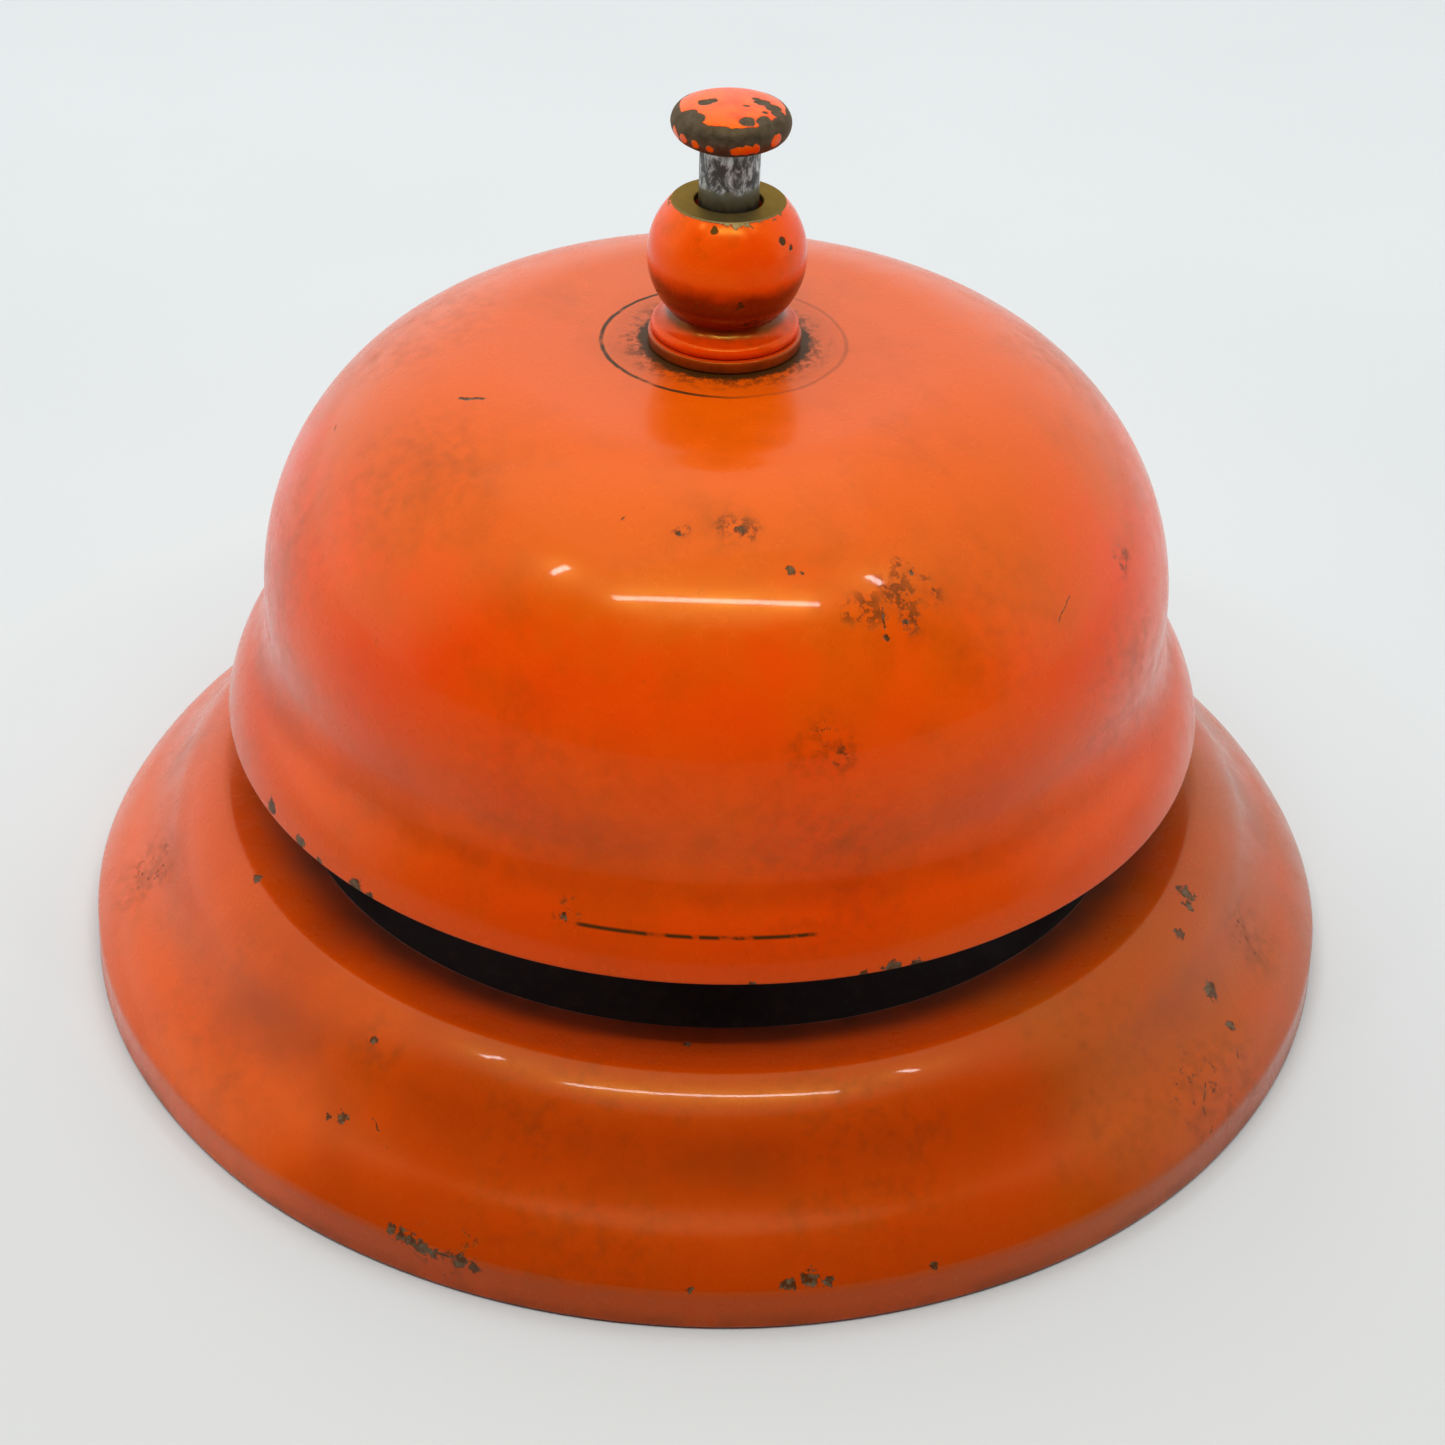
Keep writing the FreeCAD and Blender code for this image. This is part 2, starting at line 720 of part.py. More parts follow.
def pivot_spacers():
    """Two sleeves on the pin that keep the hammer in the middle of the frame."""
    sleeves = []
    length = "leg_inside - bush_half_length - spacer_gap"
    for number, start in enumerate(("-leg_inside", "bush_half_length + spacer_gap"), start=1):
        tube = DOCUMENT.addObject("Part::Cylinder", f"sleeve_{number}_outside")
        bore = DOCUMENT.addObject("Part::Cylinder", f"sleeve_{number}_bore")
        for cylinder, radius in ((tube, "spacer_radius"), (bore, "pin_radius")):
            cylinder.setExpression("Radius", bound(radius))
            cylinder.setExpression("Height", bound(length))
            place(cylinder, "pivot_across", start, "pivot_height", crosswise())
        sleeve = DOCUMENT.addObject("Part::Cut", f"sleeve_{number}")
        sleeve.Base = tube
        sleeve.Tool = bore
        sleeves.append(sleeve)
    group = DOCUMENT.addObject("Part::Compound", "pivot_spacers")
    group.Label = "pivot_spacers"
    group.Links = sleeves
    return group


def all_pieces():
    """Every piece of the bell, from the foot up."""
    retaining = spring_clip("retaining_clip", "clip_groove_radius", "clip_radius", "clip_mouth")
    place(retaining, up="clip_bottom")
    pivot = spring_clip("pivot_clip", "pin_groove_radius", "clip_radius", "clip_mouth * 0.8")
    place(pivot, "pivot_across", "leg_inside + strip_thickness", "pivot_height", crosswise())
    lock_top = "web_top + lock_washer_thickness"
    seat_top = "bell_top - bell_thickness"
    seat_under = f"{seat_top} - seat_washer_thickness"
    return [
        base_shell(),
        mechanism_pan(),
        bell_frame(),
        frame_rivets(),
        post_tube(),
        ring("lock_washer", "post_radius", "lock_washer_radius", "web_top", lock_top),
        hex_nut("post_nut", lock_top),
        hex_nut("seat_nut", f"{seat_under} - nut_height"),
        ring("seat_washer", "post_radius", "seat_washer_radius", seat_under, seat_top),
        bell_dome(),
        ring("cap_washer", "post_radius", "cap_washer_radius", "bell_top", "bell_top + cap_washer_thickness"),
        finial_nut(),
        plunger_stem(),
        push_button(),
        retaining,
        return_spring(),
        hammer_lever(),
        hammer_bush(),
        hammer_head(),
        hammer_rivet(),
        pivot_pin(),
        pivot,
        pivot_spacers(),
    ]


def check(pieces):
    """Stop if any object failed to compute, or any piece is empty or broken."""
    for thing in DOCUMENT.Objects:
        if {"Invalid", "Error"} & set(thing.State):
            raise RuntimeError(f"{thing.Name} failed: {thing.State}")
    for piece in pieces:
        if piece.Shape.isNull() or not piece.Shape.isValid() or not piece.Shape.Solids:
            raise RuntimeError(f"{piece.Label} has no valid solid")


def main():
    fill_sheet()
    pieces = all_pieces()
    DOCUMENT.recompute()
    check(pieces)
    os.makedirs("parts", exist_ok=True)
    for piece in pieces:
        piece.Shape.exportStep(os.path.join("parts", f"{piece.Label}.step"))
        box = piece.Shape.BoundBox
        print(f"{piece.Label}: {len(piece.Shape.Solids)} solid(s), {piece.Shape.Volume:.1f} mm3, "
              f"z {box.ZMin:.2f}..{box.ZMax:.2f}")


main()
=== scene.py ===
import math

import bmesh
import bpy
from mathutils import Matrix, Vector, noise


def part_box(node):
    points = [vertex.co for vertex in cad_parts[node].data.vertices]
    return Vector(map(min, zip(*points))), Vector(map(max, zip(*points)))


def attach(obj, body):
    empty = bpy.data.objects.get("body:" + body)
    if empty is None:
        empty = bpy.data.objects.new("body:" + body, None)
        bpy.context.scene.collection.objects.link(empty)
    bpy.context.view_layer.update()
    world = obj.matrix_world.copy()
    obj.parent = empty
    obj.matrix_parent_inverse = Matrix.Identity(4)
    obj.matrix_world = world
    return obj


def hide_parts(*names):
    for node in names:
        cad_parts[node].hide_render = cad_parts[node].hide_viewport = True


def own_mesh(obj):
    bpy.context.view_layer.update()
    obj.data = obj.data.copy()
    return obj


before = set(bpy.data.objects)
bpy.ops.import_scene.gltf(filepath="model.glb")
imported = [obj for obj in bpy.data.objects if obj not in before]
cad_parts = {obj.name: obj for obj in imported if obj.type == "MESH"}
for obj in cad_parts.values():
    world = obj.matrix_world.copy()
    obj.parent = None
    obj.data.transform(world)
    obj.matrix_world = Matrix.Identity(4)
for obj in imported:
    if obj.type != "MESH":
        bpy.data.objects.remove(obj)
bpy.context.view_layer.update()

# A service bell in worn orange enamel: the pieces that show are remade here from the CAD's own profiles, in
# millimetres, and the working parts inside keep their CAD meshes and get a metal of their own.

MM = 0.001
TINY = 1e-6


# --- outlines and turned meshes -----------------------------------------------------------------


ARC_STEP = 0.5
ARC_DEGREES = 5
LINE_STEP = 0.8


def arc_points(start, finish, turn):
    """Points from start towards finish along an arc that turns by so many degrees, finish left out."""
    start = Vector(start)
    chord = Vector(finish) - start
    sweep = math.radians(turn)
    radius = chord.length / 2 / math.sin(sweep / 2)
    pieces = max(2, math.ceil(abs(turn) / ARC_DEGREES), math.ceil(abs(radius * sweep) / ARC_STEP))
    heading = chord.angle_signed(Vector((1, 0)), 0) - sweep / 2
    centre = start + Vector((-math.sin(heading), math.cos(heading))) * radius
    points = []
    for piece in range(pieces):
        angle = heading + sweep * piece / pieces
        points.append(tuple(centre + Vector((math.sin(angle), -math.cos(angle))) * radius))
    return points


def line_points(start, finish):
    """Points from start towards finish along a straight line, finish left out."""
    start = Vector(start)
    chord = Vector(finish) - start
    pieces = max(1, math.ceil(chord.length / LINE_STEP))
    return [tuple(start + chord * piece / pieces) for piece in range(pieces)]


def outline(corners):
    """Sample a closed outline. A corner is (across, up) or (across, up, turn of the edge that leaves it)."""
    points = []
    for index, corner in enumerate(corners):
        finish = corners[(index + 1) % len(corners)][:2]
        if len(corner) > 2:
            points += arc_points(corner[:2], finish, corner[2])
        else:
            points += line_points(corner[:2], finish)
    return points


SHARP_CORNER = 28.0
CORNER_SHARES = (0, 0.25, 0.5, 0.75, 1)
SHARP_EDGE = 32.0


def soften(points, radius):
    """Round each corner of a sampled outline that turns by more than SHARP_CORNER degrees."""
    rounded = []
    for index, point in enumerate(points):
        before = Vector(points[index - 1]) - Vector(point)
        after = Vector(points[(index + 1) % len(points)]) - Vector(point)
        turn = math.pi - before.angle(after, math.pi)
        if math.degrees(turn) < SHARP_CORNER or point[0] < TINY:
            rounded.append(point)
            continue
        back = min(radius * math.tan(turn / 2), before.length * 0.45, after.length * 0.45)
        first = Vector(point) + before.normalized() * back
        last = Vector(point) + after.normalized() * back
        for share in CORNER_SHARES:
            bend = (1 - share) ** 2 * first + 2 * share * (1 - share) * Vector(point) + share ** 2 * last
            rounded.append(tuple(bend))
    return rounded


def mesh_object(name, vertices, faces, material, body, replaced):
    """A smooth-shaded object that rides a body and stands for CAD nodes."""
    mesh = bpy.data.meshes.new(name)
    mesh.from_pydata(vertices, [], faces)
    mesh.validate()
    build = bmesh.new()
    build.from_mesh(mesh)
    bmesh.ops.recalc_face_normals(build, faces=build.faces)
    build.to_mesh(mesh)
    build.free()
    for polygon in mesh.polygons:
        polygon.use_smooth = True
    mesh.set_sharp_from_angle(angle=math.radians(SHARP_EDGE))
    mesh.materials.append(material)
    piece = bpy.data.objects.new(name, mesh)
    bpy.context.scene.collection.objects.link(piece)
    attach(piece, body)
    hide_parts(*replaced)
    return piece


def revolve(name, points, material, body, replaced, segments, shape=None):
    """Turn a closed outline in millimetres about +Z. shape may move each point by (angle, radius, height)."""
    rings = []
    vertices = []
    for radius, height in points:
        if radius < TINY:
            rings.append([len(vertices)] * segments)
            vertices.append((0, 0, height * MM))
            continue
        ring = []
        for step in range(segments):
            angle = 2 * math.pi * step / segments
            across, up = shape(angle, radius, height) if shape else (radius, height)
            ring.append(len(vertices))
            vertices.append((across * math.sin(angle) * MM, -across * math.cos(angle) * MM, up * MM))
        rings.append(ring)
    faces = []
    for index, ring in enumerate(rings):
        following = rings[(index + 1) % len(rings)]
        for step in range(segments):
            onward = (step + 1) % segments
            corners = [ring[step], ring[onward], following[onward], following[step]]
            face = [corner for place, corner in enumerate(corners) if corner not in corners[:place]]
            if len(face) > 2:
                faces.append(face)
    return mesh_object(name, vertices, faces, material, body, replaced)


# --- material graphs ----------------------------------------------------------------------------


def fill(links, socket, value):
    """Link a socket to another socket, or set it to a constant."""
    if isinstance(value, bpy.types.NodeSocket):
        links.new(value, socket)
    elif value is not None:
        socket.default_value = value


class Graph:
    """One material's node tree. Positions are in millimetres in the object's own frame."""

    def __init__(self, name, metallic=0.0, specular_tint=(1, 1, 1, 1), ior=1.5, coat=0.0, coat_roughness=0.1):
        self.material = bpy.data.materials.new(name)
        self.material.use_nodes = True
        self.nodes = self.material.node_tree.nodes
        self.links = self.material.node_tree.links
        self.shader = self.nodes["Principled BSDF"]
        self.shader.inputs["Metallic"].default_value = metallic
        self.shader.inputs["Specular Tint"].default_value = specular_tint
        self.shader.inputs["IOR"].default_value = ior
        self.shader.inputs["Coat Weight"].default_value = coat
        self.shader.inputs["Coat Roughness"].default_value = coat_roughness
        coordinates = self.nodes.new("ShaderNodeTexCoord")
        self.place = self.vector("SCALE", coordinates.outputs["Object"], scale=1 / MM)
        across, along, self.height = self.split(self.place)
        self.radius = self.reach(across, along)
        # azimuth in degrees: 0 on the -Y side, growing towards +X
        turned = self.math("ARCTAN2", across, self.math("MULTIPLY", along, -1.0))
        self.azimuth = self.math("MULTIPLY", turned, 180 / math.pi)

    def put(self, socket, value):
        fill(self.links, socket, value)

    def math(self, operation, first, second=None, third=None, clamp=False):
        node = self.nodes.new("ShaderNodeMath")
        node.operation = operation
        node.use_clamp = clamp
        for socket, value in zip(node.inputs, (first, second, third)):
            self.put(socket, value)
        return node.outputs[0]

    def vector(self, operation, first, second=None, scale=None):
        node = self.nodes.new("ShaderNodeVectorMath")
        node.operation = operation
        for socket, value in zip(node.inputs, (first, second)):
            self.put(socket, value)
        if scale is not None:
            self.put(node.inputs["Scale"], scale)
        return node.outputs["Value" if operation in ("DISTANCE", "DOT_PRODUCT") else "Vector"]

    def split(self, vector):
        node = self.nodes.new("ShaderNodeSeparateXYZ")
        self.put(node.inputs[0], vector)
        return node.outputs[0], node.outputs[1], node.outputs[2]

    def reach(self, across, along):
        """The length of a flat vector with these two parts."""
        squares = self.math("ADD", self.math("POWER", across, 2.0), self.math("POWER", along, 2.0))
        return self.math("SQRT", squares)

    def noise_node(self, size, detail, roughness, place, seed, distortion=0.0):
        node = self.nodes.new("ShaderNodeTexNoise")
        node.noise_dimensions = "4D"
        self.put(node.inputs["Vector"], place)
        self.put(node.inputs["W"], seed)
        self.put(node.inputs["Scale"], 1.0 / size)
        self.put(node.inputs["Detail"], detail)
        self.put(node.inputs["Roughness"], roughness)
        self.put(node.inputs["Distortion"], distortion)
        return node

    def noise(self, size, detail=4.0, roughness=0.55, place=None, seed=0.0, distortion=0.0):
        """Noise whose lumps are about size millimetres across, from 0 to 1."""
        return self.noise_node(size, detail, roughness, place or self.place, seed, distortion).outputs[0]

    def uneven(self, value, size, amount, low=0.3, high=0.7, **options):
        """The value moved up and down by up to amount, by noise between low and high."""
        return self.math("ADD", value, self.ramp(self.noise(size, **options), low, high, -amount, amount))

    def warp(self, size, amount, seed=0.0, detail=4.0):
        """The place moved about by up to amount millimetres, so that edges drawn with it come out ragged."""
        node = self.noise_node(size, detail, 0.62, self.place, seed)
        centred = self.vector("SUBTRACT", node.outputs["Color"], (0.5, 0.5, 0.5))
        return self.vector("ADD", self.place, self.vector("SCALE", centred, scale=2.0 * amount))

    def ramp(self, value, low, high, bottom=0.0, top=1.0):
        """Smooth step from bottom at low to top at high."""
        node = self.nodes.new("ShaderNodeMapRange")
        node.interpolation_type = "SMOOTHSTEP"
        for socket, number in zip(node.inputs, (value, low, high, bottom, top)):
            self.put(socket, number)
        return node.outputs[0]

    def band(self, value, low, high, soft):
        """1 between low and high, fading to 0 over soft on both sides."""
        rise = self.ramp(value, low - soft, low + soft)
        fall = self.ramp(value, high - soft, high + soft, 1.0, 0.0)
        return self.math("MULTIPLY", rise, fall)

    def mix(self, share, first, second):
        node = self.nodes.new("ShaderNodeMix")
        node.data_type = "RGBA"
        self.put(node.inputs["Factor"], share)
        self.put(node.inputs["A"], colour(first))
        self.put(node.inputs["B"], colour(second))
        return node.outputs["Result"]

    def most(self, *values):
        result = values[0]
        for value in values[1:]:
            result = self.math("MAXIMUM", result, value)
        return result

    def times(self, *values):
        result = values[0]
        for value in values[1:]:
            result = self.math("MULTIPLY", result, value)
        return result

    def spot(self, place, centre, size, soft=0.08):
        """1 within size millimetres of a point, with an edge soft millimetres wide."""
        away = self.vector("DISTANCE", place, tuple(centre))
        return self.ramp(away, size - soft, size + soft, 1.0, 0.0)

    def stroke(self, place, first, last, width, soft=0.08):
        """1 within half the width of the line between two points."""
        first, last = Vector(first), Vector(last)
        run = last - first
        offset = self.vector("SUBTRACT", place, tuple(first))
        share = self.vector("DOT_PRODUCT", offset, tuple(run))
        along = self.math("DIVIDE", share, run.length_squared, clamp=True)
        nearest = self.vector("SCALE", tuple(run), scale=along)
        away = self.vector("DISTANCE", offset, nearest)
        return self.ramp(away, width / 2 - soft, width / 2 + soft, 1.0, 0.0)

    def finish(self, base, roughness, height=None, depth=0.0):
        """Connect the colour, the roughness and a relief of depth millimetres."""
        self.put(self.shader.inputs["Base Color"], base)
        self.put(self.shader.inputs["Roughness"], roughness)
        if height is not None:
            bump = self.nodes.new("ShaderNodeBump")
            self.put(bump.inputs["Height"], height)
            bump.inputs["Distance"].default_value = depth * MM
            bump.inputs["Strength"].default_value = 1.0
            self.links.new(bump.outputs[0], self.shader.inputs["Normal"])
        return self.material


def colour(value):
    """A colour as four numbers, or a socket as it is."""
    return value if isinstance(value, bpy.types.NodeSocket) else (*value[:3], 1.0)


def on_bell(azimuth, radius, height):
    """A point at an azimuth in degrees, where 0 faces -Y and 90 faces +X, in millimetres."""
    angle = math.radians(azimuth)
    return Vector((radius * math.sin(angle), -radius * math.cos(angle), height))


def marks(rows):
    """Rows of azimuth, radius, height and sizes, with the first three made into a point."""
    return [(on_bell(*row[:3]), *row[3:]) for row in rows]


# --- materials ----------------------------------------------------------------------------------


# Painted light and shade among these colours: the crown orange is a painted light tone, the shaded orange and
# the shaded finial colour are painted shade, the olive orange is partly painted shade, and the grime colour
# also serves painted shade.
ENAMEL_TINT = (1.0, 0.62, 0.08, 1.0)
ORANGE = (0.88, 0.078, 0.0004)
DEEP_ORANGE = (0.84, 0.052, 0.0004)
CROWN_PAINTED_LIGHT_ORANGE = (0.66, 0.082, 0.0004)
SHADED_ORANGE = (0.50, 0.045, 0.0004)
BASE_ORANGE = (0.72, 0.080, 0.0004)
BASE_DEEP_ORANGE = (0.68, 0.062, 0.0004)
BUTTON_ORANGE = (0.86, 0.105, 0.002)
OLIVE_SHADED_ORANGE = (0.44, 0.060, 0.001)
BROWN_ORANGE = (0.36, 0.050, 0.001)
SHADED_FINIAL = (0.20, 0.011, 0.0003)
GRIME_AND_SHADE = (0.042, 0.011, 0.002)
RUST = (0.22, 0.034, 0.003)
DARK_RUST = (0.075, 0.014, 0.003)
BARE_STEEL = (0.13, 0.085, 0.05)
OLIVE_STEEL = (0.030, 0.024, 0.017)
BUTTON_STEEL = (0.085, 0.062, 0.045)
STEM_DARK = (0.085, 0.085, 0.08)
STEM_BRIGHT = (0.52, 0.51, 0.49)
GREASE_DARK = (0.11, 0.10, 0.07)
GREASE_LIGHT = (0.20, 0.18, 0.12)
AGED_BRASS = (0.26, 0.185, 0.065)
DARK_BRASS = (0.13, 0.10, 0.045)
METAL_STAIN = (0.05, 0.035, 0.02)
PAN_BLACK = (0.010, 0.009, 0.008)
PAN_GREY = (0.022, 0.018, 0.015)
PAN_DUST = (0.10, 0.085, 0.07)
PAINT_ROUGHNESS = (0.26, 0.26, 0.26)
STEEL_ROUGHNESS = (0.52, 0.52, 0.52)


def blot(graph, place, centre, size, fray):
    """An irregular patch about size millimetres in radius. fray is noise that eats into its edge."""
    away = graph.vector("DISTANCE", place, tuple(centre))
    reach = graph.math("MULTIPLY_ADD", away, 1.0 / size, fray)
    return graph.ramp(reach, 0.88, 1.12, 1.0, 0.0)


def enamel(name, tone, chips, rust_areas, smudges, scratches, grime_and_shade, seed):
    """Worn gloss enamel: uneven colour, brown haze, grime and painted shade, rust freckles, chips and
    scratches.

    The tone function gives the graph's base colour, painted light and shade included, and the grime function
    gives its mask for dirt and painted shade.
    """
    graph = Graph(name, specular_tint=ENAMEL_TINT, ior=1.42, coat=0.16, coat_roughness=0.05)
    base = tone(graph)
    haze = graph.ramp(graph.noise(9.0, 8.0, 0.66, seed=seed + 3), 0.46, 0.80, 0.0, 0.50)
    base = graph.mix(haze, base, BROWN_ORANGE)
    fine = graph.noise(0.9, 4.0, 0.7, seed=seed + 5)
    freckles = graph.times(graph.ramp(fine, 0.62, 0.72, 0.0, 0.35),
                           graph.ramp(graph.noise(14.0, 3.0, seed=seed + 6), 0.45, 0.65))
    base = graph.mix(freckles, base, RUST)

    loose = graph.warp(6.0, 2.6, seed=seed + 1)
    ragged = graph.warp(1.2, 0.45, seed=seed + 2)
    fray = graph.ramp(graph.noise(0.7, 4.0, 0.7, seed=seed + 4), 0.25, 0.75, -0.75, 0.75)
    # This mask holds painted shade as well as dirt: darker inside the bell, under the bell's rim and into the
    # base's mouth.
    dirt_and_shade = grime_and_shade(graph)
    cloud = graph.ramp(graph.noise(1.6, 6.0, 0.72, seed=seed + 7), 0.42, 0.66)
    for centre, size, strength in smudges:
        dirt_and_shade = graph.most(dirt_and_shade, graph.times(graph.spot(loose, centre, size, size * 0.45), cloud, strength))
    base = graph.mix(dirt_and_shade, base, GRIME_AND_SHADE)

    rust = 0.0
    for centre, size, cover in rust_areas:
        speck = graph.ramp(graph.noise(1.1, 5.0, 0.7, seed=seed + 11), 0.60 - cover, 0.65 - cover)
        rust = graph.math("MAXIMUM", rust, graph.times(graph.spot(loose, centre, size, size * 0.5), speck))
    base = graph.mix(graph.times(rust, 0.78), base, graph.mix(graph.ramp(fine, 0.4, 0.6), RUST, DARK_RUST))

    bare = 0.0
    for centre, size in chips:
        bare = graph.math("MAXIMUM", bare, blot(graph, ragged, centre, size, fray))
    for first, last, width in scratches:
        bare = graph.math("MAXIMUM", bare, graph.stroke(ragged, first, last, width, 0.04))
    metal = graph.mix(graph.ramp(graph.noise(0.6, 4.0, 0.7, seed=4.0), 0.42, 0.62), DARK_RUST, BARE_STEEL)
    base = graph.mix(bare, base, metal)

    gloss = graph.ramp(graph.noise(3.0, 6.0, 0.6, seed=seed + 8), 0.3, 0.75, 0.20, 0.33)
    rough = graph.math("ADD", gloss, graph.times(dirt_and_shade, 0.35))
    rough = graph.math("ADD", rough, graph.times(graph.most(bare, rust), 0.25))
    peel = graph.times(graph.noise(1.8, 2.0, 0.5, seed=6.0), 0.08)
    relief = graph.math("SUBTRACT", graph.math("SUBTRACT", peel, bare), graph.times(rust, 0.4))
    return graph.finish(base, rough, relief, 0.08)


def bell_enamel():
    """Enamel of the bell, with its marks, and with painted light and shade in its colour."""
    # Dirt around the finial's foot, specks and a scribed ring on the crown, darker in the lip's groove, a
    # dark line on the lip, and painted shade on the inside of the bell.
    def grime_and_shade(graph):
        crown = graph.ramp(graph.height, 60.0, 62.0)
        edge = graph.uneven(graph.radius, 0.6, 0.35, detail=6.0, roughness=0.8, seed=2.0)
        foot = graph.times(graph.ramp(edge, 8.0, 8.6, 1.0, 0.0), crown)
        specks = graph.ramp(graph.noise(0.8, 6.0, 0.75, seed=7.0), 0.44, 0.58)
        smear = graph.times(graph.ramp(graph.radius, 8.2, 11.6, 0.80, 0.0), crown, specks)
        veil = graph.times(graph.ramp(graph.radius, 10.8, 11.8, 0.10, 0.0), crown)
        wobble = graph.uneven(graph.radius, 6.0, 0.15, detail=2.0, seed=1.5)
        from_left = graph.math("ABSOLUTE", graph.math("ADD", graph.azimuth, 80.0))
        round_left = graph.ramp(from_left, 60.0, 100.0, 1.0, 0.35)
        ring = graph.times(graph.band(wobble, 11.40, 11.80, 0.09), crown, round_left,
                           graph.ramp(graph.noise(2.5, 4.0, seed=9.0), 0.30, 0.46, 0.45, 1.0))
        groove = graph.times(graph.band(graph.height, 32.6, 35.0, 1.4),
                             graph.ramp(graph.noise(9.0, 5.0, 0.65, seed=3.3), 0.40, 0.75, 0.06, 0.34))
        # painted shade: the inside of the bell is painted darker
        inside_shade = graph.ramp(graph.height, 26.6, 26.9, 0.35, 0.0)
        from_front = graph.math("ABSOLUTE", graph.math("ADD", graph.azimuth, 1.0))
        lip_line = graph.times(graph.band(graph.height, 30.55, 30.85, 0.12),
                               graph.ramp(from_front, 12.0, 13.5, 1.0, 0.0),
                               graph.ramp(graph.noise(1.6, 3.0, seed=14.0), 0.38, 0.50, 0.30, 1.0))
        return graph.most(foot, smear, veil, ring, groove, inside_shade, lip_line)

    # Painted light and shade: the crown is painted a duller, yellower orange for the strong light that falls
    # on the top, and the lower bell is painted darker as painted shade.
    def tone(graph):
        drift = graph.noise(28.0, 3.0, 0.5, seed=20.0)
        base = graph.mix(graph.ramp(drift, 0.38, 0.66), ORANGE, DEEP_ORANGE)
        high = graph.uneven(graph.height, 12.0, 4.0, detail=3.0, seed=21.0)
        base = graph.mix(graph.ramp(high, 47.0, 60.0), base, CROWN_PAINTED_LIGHT_ORANGE)
        # painted shade: the lower bell is painted darker
        low = graph.ramp(high, 31.0, 43.0, 0.42, 0.0)
        return graph.mix(low, base, SHADED_ORANGE)

    chips = marks([
        (10.6, 34.4, 60.0, 0.46), (11.8, 34.6, 59.8, 0.26),
        (25.0, 38.9, 55.8, 0.40), (22.0, 39.4, 55.2, 0.24), (28.2, 35.9, 58.9, 0.32),
        (-57.3, 49.2, 27.4, 0.75), (-50.4, 49.3, 27.0, 0.55), (-46.5, 49.4, 26.8, 0.4),
        (-40.4, 49.4, 26.8, 0.75), (-38.5, 49.4, 26.7, 0.5), (16.5, 49.4, 26.7, 0.5),
        (19.5, 49.4, 26.7, 0.8), (22.5, 49.4, 26.7, 0.5), (5.0, 49.4, 26.7, 0.3),
        (140, 49.4, 26.8, 0.7), (-160, 49.4, 26.8, 0.6), (-120, 44.9, 44.0, 0.6),
        (165, 38.0, 56.8, 0.6), (110, 43.0, 49.4, 0.5), (-15.0, 47.5, 30.9, 0.42),
        (3.6, 30.9, 62.1, 0.45), (-6.3, 31.4, 61.8, 0.32),
    ])
    rust_areas = marks([
        (19.6, 37.2, 57.4, 1.8, 0.12), (25.2, 36.9, 57.7, 1.9, 0.12),
        (29.6, 37.0, 57.6, 1.4, 0.09), (24.6, 38.4, 56.2, 1.2, 0.12),
        (27.3, 35.5, 59.2, 1.5, 0.06), (1.0, 30.8, 62.1, 1.1, 0.12),
        (4.5, 31.0, 62.0, 1.2, 0.12),
        (-6.3, 31.4, 61.8, 1.0, 0.05), (63.9, 41.1, 52.8, 1.6, 0.10),
        (13.0, 43.5, 48.0, 2.0, 0.07), (-150, 36.0, 58.6, 4.0, 0.05),
        (120, 44.8, 43.0, 3.0, 0.05), (-15, 47.2, 31.5, 1.2, 0.08),
    ])
    smudges = marks([
        (-54.8, 34.3, 60.0, 9.0, 0.20), (-70, 43.5, 49.0, 9.0, 0.16),
        (2.5, 31.0, 61.9, 2.4, 0.35), (60, 44.9, 42.0, 8.0, 0.26),
        (-20, 44.9, 41.0, 9.0, 0.13), (40, 40.0, 54.5, 7.0, 0.13),
        (-100, 30.0, 62.0, 8.0, 0.26), (170, 42.0, 51.5, 9.0, 0.28),
        (13.0, 43.6, 47.5, 3.0, 0.45), (100, 35.0, 59.6, 7.0, 0.24),
        (25.0, 37.5, 57.0, 4.0, 0.22), (12.0, 45.2, 36.0, 9.0, 0.18),
    ])
    scratches = [
        (on_bell(-64.5, 26.6, 63.4), on_bell(-61.0, 25.0, 63.9), 0.34),
        (on_bell(-16.5, 31.4, 61.8), on_bell(-14.0, 29.6, 62.6), 0.16),
        (on_bell(-14.0, 29.6, 62.6), on_bell(-11.4, 29.0, 62.8), 0.14),
        (on_bell(22.3, 37.6, 57.1), on_bell(22.0, 39.2, 55.4), 0.16),
        (on_bell(47.0, 41.6, 52.0), on_bell(52.0, 40.6, 53.6), 0.10),
        (on_bell(-30.0, 35.5, 59.2), on_bell(-27.0, 36.4, 58.4), 0.10),
        (on_bell(-75.0, 38.0, 56.8), on_bell(-80.0, 37.0, 57.8), 0.14),
    ]
    return enamel("bell_enamel", tone, chips, rust_areas, smudges, scratches, grime_and_shade, 20.0)


